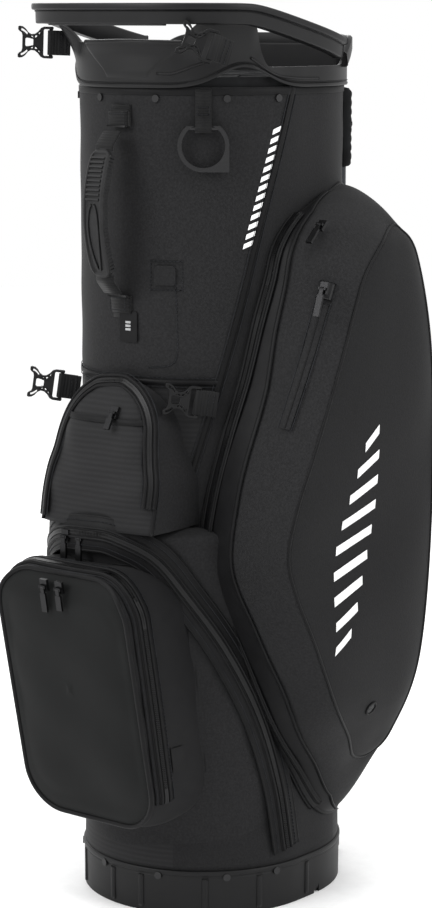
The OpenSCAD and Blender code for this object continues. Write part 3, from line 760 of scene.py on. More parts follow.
def makeCollar():
    s = np.linspace(-halfRound, halfRound, 360, endpoint=False)
    angle = angleOf(s)
    v = np.linspace(0, 1, 22)
    low, top = cuffLow(angle)[:, None], cuffTop(angle)[:, None]
    z = low + (top - low) * v
    o = cuffProud(angle[:, None], z)
    # a rounded lip along the lower edge, with a thin groove above it
    up = (z - low) / mm
    o = o + 0.0009 * np.exp(-((up - 1.6) / 1.4) ** 2) - 0.0007 * np.exp(-((up - 4.2) / 0.8) ** 2)
    points, normals = tubePoint(s[:, None], z, o)
    collar = gridPiece("cuff_collar_shell", points, cuffPlastic, closeU=True, outward=normals,
                       thick=cuff["thick"])
    attach(bevel(collar, 0.0007), "bag", "cuff_plastic", "cuff_collar")
    # a dark cord laid along the groove above the lip: painted shade in the groove
    path = tubePoint(s, cuffLow(angle) + 0.0044, cuffProud(angle, cuffLow(angle)) + 0.0001)
    line = sweepPiece("cuff_groove_painted_shade", *path, roundProfile(0.0006, 0.0, 6), trimNylon, closed=True)
    attach(line, "bag", "cuff_plastic")
    # raised panel in front, wide above and narrow below
    width = np.linspace(-1, 1, 40)[:, None]
    height = np.linspace(0, 1, 14)[None, :]
    turn = 3.5 + width * (11.5 + 17 * smoothStep(height, 0.0, 1.0))
    z = 0.8375 + (0.8735 - 0.8375) * height + 0 * width
    edge = smoothStep(1 - np.abs(width), 0, 0.10) * smoothStep(height, 0, 0.12)
    points, normals = tubePoint(atAngle(turn), z, cuffProud(turn, z) + 0.0016 * edge - 0.0004)
    panel = gridPiece("cuff_front_panel", points, cuffPlastic, outward=normals)
    attach(panel, "bag", "cuff_plastic")
    rim = tubePath([(-24, 872), (-10, 872.5), (3.5, 873), (17, 872.5), (31, 872)], 0.003, 0.0040)
    attach(sweepPiece("cuff_panel_top_roll", *rim, roundProfile(0.0026, 0.0, 10), cuffPlastic), "bag",
           "cuff_plastic")
    # a ledge along the lower part of the webs, where the strap slots are
    ledges = []
    for route in ([(19, 843), (26, 843), (34, 849), (44, 857)],
                  [(60, 858), (72, 842), (84, 838), (100, 837)]):
        path = tubePath(route, 0.003, 0.0)
        o = cuffProud(angleOf(atAngle(np.linspace(route[0][0], route[-1][0], len(path[0])))), path[0][:, 2])
        path = path[0] + o[:, None] * path[1], path[1]
        ledges.append(sweepPiece("ledge", *path, roundProfile(0.0013, 0.0, 8), cuffPlastic))
    attach(joinPieces("cuff_ledges", ledges), "bag", "cuff_plastic")


# outline of the rim: a rounded box, power 3 in front and 2.6 behind, as in the frame's solids
rim = {"halfWidth": 0.144, "front": 0.155, "rear": 0.139, "centre": -0.020}


def rimPoint(t):
    c, s = np.cos(t), np.sin(t)
    n = np.where(s < 0, 3.0, 2.6)
    x = np.sign(c) * np.abs(c) ** (2 / n) * rim["halfWidth"]
    y = np.sign(s) * np.abs(s) ** (2 / n) * np.where(s < 0, rim["front"], rim["rear"])
    return np.stack([x, y + rim["centre"]], axis=-1)


def makeRim():
    # the front and the two arms, from one side's rear end round the front to the other's
    t = np.linspace(math.radians(-212), math.radians(32), 400)
    flat = evenPath(rimPoint(t), 0.004)
    flat = flat[flat[:, 1] < 0.048]
    y = flat[:, 1]
    z = cuff["rimTop"] - np.tan(cuff["fall"]) * 0.5 * ((y + 0.1) + np.sqrt((y + 0.1) ** 2 + 0.00012))
    path = np.column_stack([flat, z])
    normals = np.tile([0.0, 0.0, 1.0], (len(path), 1))
    _, across, up = pathAxes(path, normals)
    if (across[len(path) // 2] @ [0, -1, 0]) < 0:
        across = -across
    # cross-section in mm: outwards, upwards. A lip on top, a hand-hold band below it, hollow inside
    section = np.array([(-15, -20), (-5.2, -20), (-4.1, -19), (-3.9, -8.4), (-3.3, -6.9), (-0.9, -6.3),
                        (0, -5.4),
                        (0, -1.2), (-0.9, -0.2), (-2.6, 0), (-12.8, 0), (-14.4, -0.9), (-15, -2.6)]) * mm
    grid = path[:, None] + across[:, None] * section[None, :, :1] + up[:, None] * section[None, :, 1:]
    m = len(section)
    faces = gridFaces(len(path), m, False, True)
    flatGrid = grid.reshape(-1, 3)
    q = flatGrid[faces]
    away = q.mean(axis=1) - np.repeat(grid.mean(axis=1), m, axis=0)[:len(faces)]
    flip = (np.cross(q[:, 2] - q[:, 0], q[:, 3] - q[:, 1]) * away).sum() < 0
    faces = faces[:, ::-1] if flip else faces
    caps = [np.arange(m), np.arange(m) + (len(path) - 1) * m]
    caps = [caps[0], caps[1][::-1]] if flip else [caps[0][::-1], caps[1]]
    band = putObject("cuff_grab_rim", flatGrid, faces.tolist() + [c.tolist() for c in caps], cuffPlastic)
    attach(bevel(band, 0.0009, 2), "bag", "cuff_plastic", "cuff_rim")
    # the fine groove between lip and band, with a dark line laid in it as painted shade
    groove = path + across * -0.0037 + up * -0.0078
    attach(sweepPiece("cuff_rim_groove_painted_shade", groove, across, roundProfile(0.0007, 0.0, 6), trimNylon), "bag",
           "cuff_plastic")
    # soft hand pad let into the underside of the front bar
    front = (path[:, 1] < -0.166)
    pad = path[front] + across[front] * -0.0095 + up[front] * -0.0200
    attach(sweepPiece("cuff_rim_hand_pad", pad, -up[front], bandProfile(0.0085, 0.0016, -0.0002),
                      gripRubber),
           "bag", "cuff_plastic")


# rear blocks that carry the arms down to the collar
def makeRearArms():
    s = np.linspace(-halfRound, halfRound, 300, endpoint=False)
    angle = angleOf(s)
    s, angle = np.roll(s, 150), np.roll(angle, 150)
    keep = np.abs(angle) > 112
    s, angle = s[keep], angle[keep]
    points, normals = tubePoint(s, cuffTop(angle) - 0.001, cuff["proud"])
    profile = np.array([(-0.012, 0), (-0.012, 0.003), (-0.010, 0.0052), (0.002, 0.0052), (0.0036, 0.0036),
                        (0.0036, 0)])
    roll = sweepPiece("cuff_rear_rail", points, normals, profile, cuffPlastic)
    attach(bevel(roll, 0.0006), "bag", "cuff_plastic")


makeCollar()
makeRim()
makeRearArms()
print("cuff ready")


# ---- dividers ----

divider = {"rows": [-131, -78, -30, 18, 66, 110], "columnX": 41, "top": 820, "bottom": 48, "inset": 6.8,
           "bar": 6.5}


# half the body's width at a depth y, all in mm, less an inset
def halfWidthAt(y, inset):
    r = tube["radius"] / mm - inset
    t = max(abs(y) - tube["half"] / mm, 0)
    return math.sqrt(r * r - t * t)


# every wall between two slots, as a start and an end in X and Y (mm)
def dividerWalls(inset):
    rows, x = divider["rows"], divider["columnX"]
    walls = []
    for y in rows[1:-1]:
        w = halfWidthAt(y, inset)
        walls.append(((-w, y), (w, y)))
    for i in range(5):
        front = rows[i] if i else -tube["half"] / mm - tube["radius"] / mm + inset
        for column in ([0] if i == 0 else [-x, x]):
            rear = min(rows[i + 1], tube["back"] / mm - inset)
            walls.append(((column, front), (column, rear)))
    return walls


def makeDividers():
    panels, bars = [], []
    for (x0, y0), (x1, y1) in dividerWalls(divider["inset"]):
        a, b = np.array([x0, y0]) * mm, np.array([x1, y1]) * mm
        across = unit(np.array([-(b - a)[1], (b - a)[0]]))
        u = np.linspace(0, 1, 24)[:, None]
        z = np.linspace(divider["bottom"], divider["top"] - 1, 40)[None, :] * mm
        flat = a + (b - a) * u[..., None]
        drift = 0.0009 * np.sin(math.pi * u) * np.sin(z * 21 + x0) * smoothStep(z, 0.81, 0.7)
        points = np.concatenate([flat + across * drift[..., None], np.broadcast_to(z, (24, 40))[..., None]],
                                axis=2)
        panels.append(gridPiece("wall", points, dividerKnit, outward=np.array([*across, 0.0]), thick=0.0016,
                                side=0))
        # padded bar along the top of the wall
        line = np.column_stack([np.linspace(a, b, 30), np.full(30, (divider["top"] + 11) * mm)])
        t = np.linspace(0, 2 * math.pi, 16, endpoint=False)
        pad = np.stack([np.sign(np.cos(t)) * np.abs(np.cos(t)) ** 0.7 * 3.6, 10.0 * np.sign(np.sin(t)) *
                        np.abs(np.sin(t)) ** 0.7], axis=1) * mm
        bars.append(sweepPiece("bar", line, np.tile([0.0, 0.0, 1.0], (30, 1)), pad, gridKnit))
    for panel in panels:
        bpy.context.view_layer.objects.active = panel
        bpy.ops.object.modifier_apply(modifier="thickness")
    walls = joinPieces("divider_walls", panels)
    attach(walls, "bag", "divider_fabric", "divider_panels")
    s = np.linspace(-halfRound, halfRound, 200, endpoint=False)
    ring = tubePoint(s, (divider["top"] + 11) * mm, -0.0062)
    bars.append(sweepPiece("ring", *ring, np.array([(-9.5, -1.8), (-8, 2.2), (8, 2.2), (9.5, -1.8),
                                                    (8, -2.6), (-8, -2.6)]) * mm,
                           gridKnit, closed=True))
    grid = joinPieces("divider_top_grid", bars)
    attach(grid, "bag", "grid_fabric", "divider_grid")


makeDividers()
print("dividers ready")


# ---- lower front pocket: leans out over the front, closed by a level top, with an arched zip band ----

frontPocket = {"low": 56, "top": 398, "edge": 0.009,
               "band": [(-84, 60), (-82, 180), (-72, 270), (-52, 345), (-24, 388), (4, 397), (18, 392),
                        (33, 374),
                        (45, 336), (60, 278), (73, 205), (80, 130), (82, 60)], "bandWidth": 0.034}


def makeFrontPocket():
    degrees = np.linspace(-112, 112, 190)[:, None]
    z = np.concatenate([np.linspace(frontPocket["low"], 385, 90), np.linspace(387, 398, 8)]) * mm
    # the top edge rolls over by a quarter circle, and the skin then runs level back to the body
    e = frontPocket["edge"]
    rise = np.clip((z - (0.398 - e)) / e, 0, 1)
    inset = -e * (1 - np.sqrt(np.maximum(1 - rise ** 2, 0)))
    points, normals = leanPoint(degrees, z[None, :], inset[None, :])
    belly = 0.004 * smoothStep(z, 0.06, 0.14) * smoothStep(z, 0.385, 0.3)
    # the left shoulder stands out further, over the ball pocket's corner
    shoulder = 0.008 * np.exp(-((degrees + 62) / 26) ** 2) * np.exp(-((z - 0.345) / 0.06) ** 2)
    points = points + normals * ((belly + shoulder)[..., None] + clothWaves(points, 0.13, 0.0007) - 0.0012)
    cap = [points]
    inner = points[:, -1:]
    pull = np.linspace(0.06, 0.96, 14)[None, :, None]
    tubeLine, _ = tubePoint(atAngle(degrees), 0.4005, -0.004)
    tubeLine = tubeLine.reshape(-1, 1, 3)
    sag = np.array([0, 0, 1.0]) * (0.0022 * np.sin(math.pi * pull) - 0.002 * pull)
    cap.append(inner + (tubeLine - inner) * pull + sag)
    points = np.concatenate(cap, axis=1)
    skin = gridPiece("front_pocket_skin", points, canvas, centre=(0, 0.05, 0.2), thick=0.0016)
    attach(skin, "bag", "pocket_fabric", "lower_front_pocket")
    band = leanPath(frontPocket["band"], 0.0035, 0.0031)
    strip = sweepPiece("front_pocket_zip_band", *band, bandProfile(frontPocket["bandWidth"], 0.0022, 0.0),
                       trimNylon)
    attach(strip, "bag", "pocket_fabric")
    makeZip("front_pocket_zip", lifted(band, 0.0020), "bag", "pocket_fabric", 0.015)
    half = frontPocket["bandWidth"] / 2
    for side, tag in ((-half, "outer"), (half, "inner")):
        cord = sweepPiece("front_pocket_piping_" + tag, *lifted(beside(band, side), 0.0008),
                          roundProfile(0.0013, 0.0004),
                          cordNylon)
        attach(cord, "bag", "pocket_fabric")
    stitchRow("front_pocket_stitches", [lifted(beside(band, s * half * 0.72), 0.0022) for s in (-1, 1)],
              "bag", "pocket_fabric")


makeFrontPocket()


# ---- valuables pocket: a round-topped pouch on the front of the body ----

valuables = {"half": 61, "top": 543, "low": 401,
             "crown": [(401, -189), (440, -186), (494, -174), (526, -160), (543, -149)],
             "seam": [(401, -182), (440, -174), (480, -160), (510, -152), (543, -146)], "zipShare": 0.93,
             "widerLeft": 7, "widerRight": 13}


# the pouch's skin: u runs across from -1 to 1, q up from 0 to 1; u = 1 is its outline
def pouchPoint(u, q):
    u, q = np.broadcast_arrays(np.asarray(u, float), np.asarray(q, float))
    r, top, low = valuables["half"], valuables["top"], valuables["low"]
    z = low + (top - low) * (1 - (1 - q) ** 2)
    w = np.where(z < top - r, r, np.sqrt(np.maximum(r ** 2 - (z - top + r) ** 2, 1.0)))
    crown = np.interp(z, *np.array(valuables["crown"], float).T)
    seam = np.interp(z, *np.array(valuables["seam"], float).T)
    y = seam + (crown - seam) * (1 - np.abs(u) ** 4)
    # below the buckles the pouch widens, more on the right
    w = w + np.where(u > 0, valuables["widerRight"], valuables["widerLeft"]) * smoothStep(z, 490, 440)
    return np.stack([u * w, y, z], axis=-1) * mm


def makeValuables():
    u = np.sin(np.linspace(-math.pi / 2, math.pi / 2, 81))[:, None]
    q = np.linspace(0, 1, 60)[None, :]
    points = pouchPoint(u, q)
    soft = smoothStep(1 - np.abs(u), 0, 0.2) * smoothStep(q, 0, 0.1) * smoothStep(q, 1, 0.85)
    points = points + np.array([0, -1.0, 0]) * (soft[..., None]
                                                * (clothWaves(points, 0.07, 0.0012) + 0.001))
    face = gridPiece("valuables_front", points, twill, outward=np.array([0, -1.0, 0.2]), thick=0.0014)
    attach(face, "bag", "pocket_fabric", "valuables_pocket")
    # outline of the pouch from the lower left, over the top, to the lower right
    side = np.linspace(0, 0.985, 50)
    left, right = pouchPoint(-1.0, side), pouchPoint(1.0, side[::-1])
    seam = evenPath(np.vstack([left, right]), 0.004)
    back, _ = tubePoint(0.125 * np.arcsin(np.clip(seam[:, 0] * 1.02 / 0.125, -1, 1)),
                        seam[:, 2] + 0.002, 0.0)
    middle = np.array([0, 0, 0.46])
    outward = unit((seam - middle) * [1, 0, 1])
    grid = np.stack([back + (seam - back) * v + outward * 0.0008 * math.sin(math.pi * v)
                     for v in np.linspace(0, 1, 9)])
    wall = gridPiece("valuables_gusset", grid, canvas, outward=np.broadcast_to(outward, grid.shape))
    attach(wall, "bag", "pocket_fabric")
    cord = sweepPiece("valuables_piping", seam, unit(outward + [0, -1, 0]), roundProfile(0.0021, 0.0006),
                      cordNylon)
    attach(cord, "bag", "pocket_fabric")
    # the arched zip and its dark band, a little inside the outline
    share = valuables["zipShare"]
    q = np.linspace(0.02, 0.93, 60)
    arch = np.vstack([pouchPoint(-share, q), pouchPoint(share, q[::-1])])
    arch = evenPath(smoothPath(arch[::6], 240), 0.003)
    normal = unit(np.column_stack([arch[:, 0] * 9, np.full(len(arch), -1.0), (arch[:, 2] - 0.44) * 4]))
    path = arch + normal * 0.0022, normal
    attach(sweepPiece("valuables_zip_band", *path, bandProfile(0.014, 0.0010), trimNylon), "bag",
           "pocket_fabric")
    makeZip("valuables_zip", lifted(path, 0.0006), "bag", "pocket_fabric", 0.012)
    # a welt across, above the slider
    u = np.linspace(-0.9, 0.9, 60)
    cross = pouchPoint(u, 1 - math.sqrt(1 - (506 - 401) / 142.0))
    n = np.tile([0.0, -1.0, 0.3], (60, 1))
    attach(sweepPiece("valuables_cross_welt", cross + n * 0.0018, n, bandProfile(0.006, 0.0014), trimNylon),
           "bag", "pocket_fabric")
    stitchRow("valuables_stitches", [lifted(beside(path, s * 0.0085), 0.0002) for s in (-1, 1)], "bag",
              "pocket_fabric")


makeValuables()


# ---- ball pocket: a deep pouch with a flat crowned face that tilts back towards the base ----

ball = {"half": 83, "top": 362, "low": 105, "corner": 42, "faceTop": -0.2345, "slope": 0.2017,
        "crown": 0.0075,
        "zipShare": 0.80}


# a rounded rectangle in X and Z with evenly spaced points, starting at the middle of its lower side
def roundedOutline(half, low, top, corner, count):
    cx, cz = half - corner, (top - low) / 2 - corner
    mid = (top + low) / 2
    arcs = []
    for i, (sx, sz) in enumerate(((1, -1), (1, 1), (-1, 1), (-1, -1))):
        a = np.linspace(-math.pi / 2, 0, 16) + i * math.pi / 2
        arcs.append(np.column_stack([sx * cx + corner * np.cos(a), mid + sz * cz + corner * np.sin(a)]))
    start = np.array([[0.0, low]])
    loop = np.vstack([start, *arcs, start])
    gaps = np.concatenate([[0], np.cumsum(np.linalg.norm(np.diff(loop, axis=0), axis=1))])
    wanted = np.linspace(0, gaps[-1], count, endpoint=False)
    return np.stack([np.interp(wanted, gaps, loop[:, i]) for i in range(2)], axis=1)


def ballFaceY(z):
    return ball["faceTop"] + (0.345 - z) * ball["slope"] + 0.012 * smoothStep(z, 0.335, 0.375)


def makeBall():
    count = 220
    flat = roundedOutline(ball["half"], ball["low"], ball["top"], ball["corner"], count) * mm
    seam = np.column_stack([flat[:, 0], ballFaceY(flat[:, 1]), flat[:, 1]])
    wide = roundedOutline(ball["half"] + 3, ball["low"] - 4, ball["top"] + 3, ball["corner"] + 2,
                          count) * mm
    turn = np.degrees(np.arcsin(np.clip(wide[:, 0] / 0.1226, -1, 1)))
    root, _ = leanPoint(turn, np.minimum(wide[:, 1], 0.398), 0.0005)
    root[:, 1] += 0.004
    middle = np.array([0, 0, 0.24])
    outward = unit((seam - middle) * [1, 0, 1])
    gusset = gussetGrid(root, seam, 0.0045, outward, 22)
    gusset = gusset + clothWaves(gusset, 0.09, 0.0006) * outward
    wall = gridPiece("ball_gusset", gusset, gussetNylon, closeV=True,
                     outward=np.broadcast_to(outward, gusset.shape),
                     thick=0.0014)
    attach(wall, "bag", "pocket_fabric", "ball_pocket")
    # face: rings shrinking to the middle, crowned towards the front
    centre = np.array([0, ballFaceY(0.245), 0.245])
    w = np.linspace(0, 0.965, 26)[:, None, None]
    front = unit(np.array([0, -1.0, -0.2]))
    rings = seam + (centre - seam) * w
    plane = ballFaceY(rings[..., 2])
    rings[..., 1] = plane
    lift = ball["crown"] * (1 - (1 - w) ** 3) + 0.0012 * np.exp(-((w - 0.06) / 0.04) ** 2)
    ripple = clothWaves(rings, 0.12, 0.0010) * smoothStep(w, 0.02, 0.2)
    rings = rings + front * (lift + ripple)
    pole = centre + front * (ball["crown"] + 0.0)
    face = fanPiece("ball_face", rings, pole, faceNylon, front)
    attach(face, "bag", "pocket_fabric")
    normal = unit(outward + front)
    attach(sweepPiece("ball_face_piping", seam, normal, roundProfile(0.0026, 0.0006, 12), cordNylon,
                      closed=True),
           "bag", "pocket_fabric")
    rootSeam = root + (seam - root) * 0.03 + outward * 0.0012
    attach(sweepPiece("ball_root_piping", rootSeam, outward, roundProfile(0.0018, 0.0006), cordNylon,
                      closed=True),
           "bag", "pocket_fabric")
    # zip along the gusset, up one side, over the top and down the other
    line = gussetPath(root, seam, ball["zipShare"], 0.0045, outward)
    order = (np.arange(count) >= int(count * 0.13)) & (np.arange(count) <= int(count * 0.87))
    path = line[0][order], line[1][order]
    band = sweepPiece("ball_zip_band", *lifted(path, 0.0004), bandProfile(0.024, 0.0016), trimNylon)
    attach(band, "bag", "pocket_fabric")
    makeZip("ball_zip", lifted(path, 0.0020), "bag", "pocket_fabric", 0.015)
    rows = [lifted(beside(path, s * 0.0108), 0.0020) for s in (-1, 1)]
    stitchRow("ball_stitches", rows, "bag", "pocket_fabric")
    # a small dark patch on the right of the gusset, near the zip's end
    low, high = gussetPath(root, seam, 0.40, 0.0045, outward), gussetPath(root, seam, 0.62, 0.0045, outward)
    span = slice(int(count * 0.165), int(count * 0.20))
    grid = np.stack([low[0][span] + (high[0][span] - low[0][span]) * v + low[1][span] * 0.0009
                     for v in np.linspace(0, 1, 8)])
    patch = gridPiece("ball_zip_end_patch", grid, trimNylon,
                      outward=np.broadcast_to(low[1][span], grid.shape))
    attach(patch, "bag", "pocket_fabric")


makeBall()
print("front pockets ready")


# ---- apparel pocket: long and deep on the bag's left, with two zips on its gusset ----

apparel = {
    # where the gusset meets the body (depth, height), the seam of the face (x, depth, height), bulge; all mm
    "pairs": [(27, 722, 180, 60, 690, 14), (-21, 703, 194, 26, 676, 16), (-46, 677, 203, -12, 650, 16),
              (-58, 640, 207, -34, 618, 12), (-70, 600, 211, -58, 575, 9), (-82, 548, 213, -82, 530, 8),
              (-96, 493, 212, -104, 484, 6), (-107, 433, 204, -120, 432, 5), (-112, 377, 197, -124, 385, 5),
              (-108, 340, 200, -114, 345, 6), (-92, 290, 204, -90, 295, 8), (-62, 205, 192, -40, 222, 10),
              (-28, 146, 172, 8, 178, 10), (18, 90, 152, 44, 146, 10), (70, 82, 150, 76, 142, 8),
              (94, 120, 168, 88, 168, 6), (97, 220, 200, 90, 250, 6), (97, 400, 213, 90, 400, 6),
              (97, 580, 212, 88, 560, 6), (95, 690, 196, 84, 660, 6), (70, 728, 180, 76, 688, 8)],
    # share of the gusset's width that the dark zip panel takes, at points along it
    "panel": [(0, 0.02), (1, 0.22), (2, 0.26), (4, 0.30), (5, 0.35), (7, 0.39), (9, 0.42), (11, 0.50),
              (13, 0.45), (13.8, 0.05)],
    "crown": 0.007, "count": 420}


def apparelRows():
    p = np.array(apparel["pairs"], float)
    loop = smoothPath(p, apparel["count"], True)
    # how far round each point is, counted in pairs
    turn = np.arange(len(loop)) * len(p) / len(loop)
    root, _ = tubePoint(atDepth(loop[:, 0] * mm), loop[:, 1] * mm, 0.0008)
    seam = loop[:, 2:5] * mm
    along = np.roll(root, -1, axis=0) - np.roll(root, 1, axis=0)
    outward = unit(np.column_stack([np.zeros(len(loop)), -along[:, 2], along[:, 1]]))
    middle = np.column_stack([np.zeros(len(loop)), np.full(len(loop), 0.02),
                              np.clip(root[:, 2], 0.25, 0.58)])
    outward *= np.where((outward * (root - middle)).sum(axis=1, keepdims=True) < 0, -1.0, 1.0)
    for _ in range(12):
        outward = unit(outward + np.roll(outward, 1, axis=0) + np.roll(outward, -1, axis=0))
    return root, seam, outward, loop[:, 5:6] * mm, turn


apparelRoot, apparelSeam, apparelOut, apparelBulge, apparelTurn = apparelRows()


# the long way round: the front edge from the top seam to the bottom, then the rear edge
def apparelEdges(count):
    cut = int(np.argmin(np.abs(apparelTurn - 14)))
    front, rear = apparelSeam[:cut + 1], np.vstack([apparelSeam[cut:], apparelSeam[:1]])[::-1]
    out = []
    for edge in (front, rear):
        gaps = np.concatenate([[0], np.cumsum(np.linalg.norm(np.diff(edge, axis=0), axis=1))])
        wanted = np.linspace(0, gaps[-1], count)
        out.append(np.stack([np.interp(wanted, gaps, edge[:, i]) for i in range(3)], axis=1))
    return out


def makeApparel():
    v = np.linspace(0, 1, 40)[:, None, None]
    swell = np.sin(math.pi * v) ** 0.8
    grid = apparelRoot + (apparelSeam - apparelRoot) * v + apparelOut * apparelBulge * swell
    fade = np.sin(math.pi * np.clip(v, 0.0, 1.0))
    grid = grid + apparelOut * clothWaves(grid, 0.17, 0.0016) * fade
    wall = gridPiece("apparel_gusset", grid, canvas, closeV=True,
                     outward=np.broadcast_to(apparelOut, grid.shape),
                     thick=0.0015)
    wall.data.materials.append(canvasDark)
    attach(wall, "bag", "pocket_fabric", "apparel_pocket")
    # dark welded panel that carries the zip, over the gusset next to the body
    share = np.interp(apparelTurn, *np.array(apparel["panel"], float).T, right=0.0)
    keep = apparelTurn < 13.7
    w = np.linspace(0.01, 1, 14)[:, None, None] * share[keep][None, :, None]
    swell = np.sin(math.pi * w) ** 0.8
    root, seam, out = apparelRoot[keep], apparelSeam[keep], apparelOut[keep]
    panel = root + (seam - root) * w + out * apparelBulge[keep] * swell
    panel = panel + out * (clothWaves(panel, 0.17, 0.0016) * np.sin(math.pi * w) + 0.0014)
    attach(gridPiece("apparel_zip_panel", panel, zipNylon, outward=np.broadcast_to(out, panel.shape),
                     thick=0.0010),
           "bag", "pocket_fabric")
    edge = panel[-1] + out * 0.0002
    attach(sweepPiece("apparel_panel_welt", edge, out, bandProfile(0.0045, 0.0016), cordNylon), "bag",
           "pocket_fabric")
    # pipings along the body and along the face
    attach(sweepPiece("apparel_root_piping", apparelRoot + apparelOut * 0.0005, apparelOut,
                      roundProfile(0.0022, 0.0),
                      cordNylon, closed=True), "bag", "pocket_fabric")
    normal = unit(apparelOut + [0.8, 0, 0])
    attach(sweepPiece("apparel_face_piping", apparelSeam, normal, roundProfile(0.0016, 0.0), cordNylon,
                      closed=True),
           "bag", "pocket_fabric")
    # main zip in the middle of the dark panel
    middle = np.where(keep, 0.24 * share, 0.0)
    points, normals = gussetPath(apparelRoot, apparelSeam, middle, apparelBulge, apparelOut)
    span = (apparelTurn > 1.0) & (apparelTurn < 12.9)
    path = (points + apparelOut * 0.0024)[span], normals[span]
    makeZip("apparel_zip", path, "bag", "pocket_fabric", 0.017)
    # second, short zip on the outer part of the gusset, straight down from its garage
    outer = np.interp(apparelTurn, [2.0, 6.0], [0.74, 0.66])
    points, normals = gussetPath(apparelRoot, apparelSeam, outer, apparelBulge, apparelOut)
    span = (apparelTurn > 3.05) & (apparelTurn < 5.7)
    path = (points + apparelOut * 0.0012)[span], normals[span]
    attach(sweepPiece("stash_zip_flap", *path, bandProfile(0.0125, 0.0010, -0.0002), canvas), "bag",
           "pocket_fabric")
    attach(sweepPiece("stash_zip_slit", *lifted(path, 0.0008), roundProfile(0.0008, 0.0, 8), trimNylon),
           "bag", "pocket_fabric")
    # moulded garage that the slider parks in
    cap = (apparelTurn > 2.50) & (apparelTurn < 3.02)
    top = (points + apparelOut * 0.0010)[cap], normals[cap]
    block = sweepPiece("stash_zip_garage", *top, bandProfile(0.0150, 0.0042, -0.0003, 0.5), cuffPlastic)
    attach(bevel(block, 0.0009), "bag", "pull_plastic")
    # the slider's slot is a flat dark band on the garage's top: painted shade in the opening
    slot = beside(lifted(top, 0.0040), 0.0028)
    attach(sweepPiece("stash_garage_slot_painted_shade", slot[0][3:-3], slot[1][3:-3], bandProfile(0.0030, 0.0005),
                      trimNylon),
           "bag", "pull_plastic")
    rows = [lifted(beside(path, 0.0078), 0.0002), lifted(beside(path, -0.0078), 0.0002)]
    rows.append((edge + out * 0.0006, out))
    stitchRow("apparel_stitches", rows, "bag", "pocket_fabric")
    # face: rows from the front edge to the rear edge, crowned across
    front, rear = apparelEdges(150)
    u = np.linspace(0, 1, 60)[None, :, None]
    f, r = front[:, None, :], rear[:, None, :]
    face = f + (r - f) * u
    width = np.linalg.norm(r - f, axis=-1, keepdims=True)
    crown = apparel["crown"] * (1 - np.abs(2 * u - 1) ** 3.0) * np.clip(width / 0.10, 0, 1)
    ripple = clothWaves(face, 0.24, 0.0016) * (1 - (2 * u - 1) ** 6) * np.clip(width / 0.10, 0, 1)
    face = face + np.array([1.0, 0, 0]) * (crown + ripple)
    piece = gridPiece("apparel_face", face, faceCanvas, outward=np.array([1.0, 0, 0]), thick=0.0014)
    attach(piece, "bag", "pocket_fabric")
    return face


apparelFace = makeApparel()


# height of the face above any (depth, height) on it, from the grid the face was made of
def onApparelFace(y, z, o=0.0):
    flat = apparelFace.reshape(-1, 3)
    far = (flat[:, 1][None, :] - np.asarray(y).reshape(-1, 1)) ** 2 + (flat[:, 2][None, :]
                                                                       - np.asarray(z).reshape(-1, 1)) ** 2
    near = np.argsort(far, axis=1)[:, :6]
    weight = 1 / (np.take_along_axis(far, near, axis=1) + 1e-8)
    x = (flat[near, 0] * weight).sum(axis=1) / weight.sum(axis=1)
    return np.column_stack([x + o, np.ravel(y), np.ravel(z)])


# plain mark of slanted bars on the face, heat pressed, growing and shrinking in length
faceMark = {"from": (-52, 292), "to": (-22, 492), "bars": 9, "long": 50, "short": 20, "thick": 9,
            "slant": 16}


def makeFaceMark():
    pieces = []
    start, end = np.array(faceMark["from"], float), np.array(faceMark["to"], float)
    for i in range(faceMark["bars"]):
        share = i / (faceMark["bars"] - 1)
        centre = start + (end - start) * share
        half = (faceMark["short"] + (faceMark["long"] - faceMark["short"]) * math.sin(math.pi * share)) / 2
        a = np.linspace(-1, 1, 12)[:, None]
        b = np.linspace(-1, 1, 4)[None, :]
        y = centre[0] + a * half + 0 * b
        z = centre[1] + b * faceMark["thick"] / 2 + a * faceMark["slant"] / 2
        grid = onApparelFace(y.ravel() * mm, z.ravel() * mm, 0.0007).reshape(12, 4, 3)
        pieces.append(gridPiece("bar", grid, whiteFilm, outward=np.array([1.0, 0, 0]), thick=0.0004))
    attach(joinPieces("apparel_face_mark", pieces), "bag", "pocket_fabric")


makeFaceMark()


# sewn eyelet that lets the pocket breathe: a rolled ring round a small dome
def makeEyelet(y, z, radius):
    t = np.linspace(0, 2 * math.pi, 36, endpoint=False)
    ring = onApparelFace((y + radius * np.cos(t)) * mm, (z + radius * np.sin(t)) * mm, 0.0006)
    out = np.tile([1.0, 0, 0], (36, 1))
    cord = sweepPiece("apparel_eyelet", ring, out, roundProfile(0.0011, 0.0002, 8), cordNylon, closed=True)
    attach(cord, "bag", "pocket_fabric")
    grow = np.linspace(1, 0.12, 6)[:, None]
    rings = np.stack([onApparelFace((y + radius * g * np.cos(t)) * mm, (z + radius * g * np.sin(t)) * mm,
                                    0.0004 + 0.0010 * (1 - g ** 2)) for g in grow.ravel()])
    dome = fanPiece("apparel_eyelet_dome", rings, rings[-1].mean(axis=0), tabPlastic, np.array([1.0, 0, 0]))
    attach(dome, "bag", "pocket_fabric")


makeEyelet(18, 208, 6.2)
print("apparel pocket ready")


# ---- side pocket: a small flat pouch on the bag's right ----

sidePocket = {"depth": (-37, 87), "height": (124, 356), "corner": 26,
              "profile": [(124, -131), (160, -156), (240, -163), (330, -156), (356, -131)]}


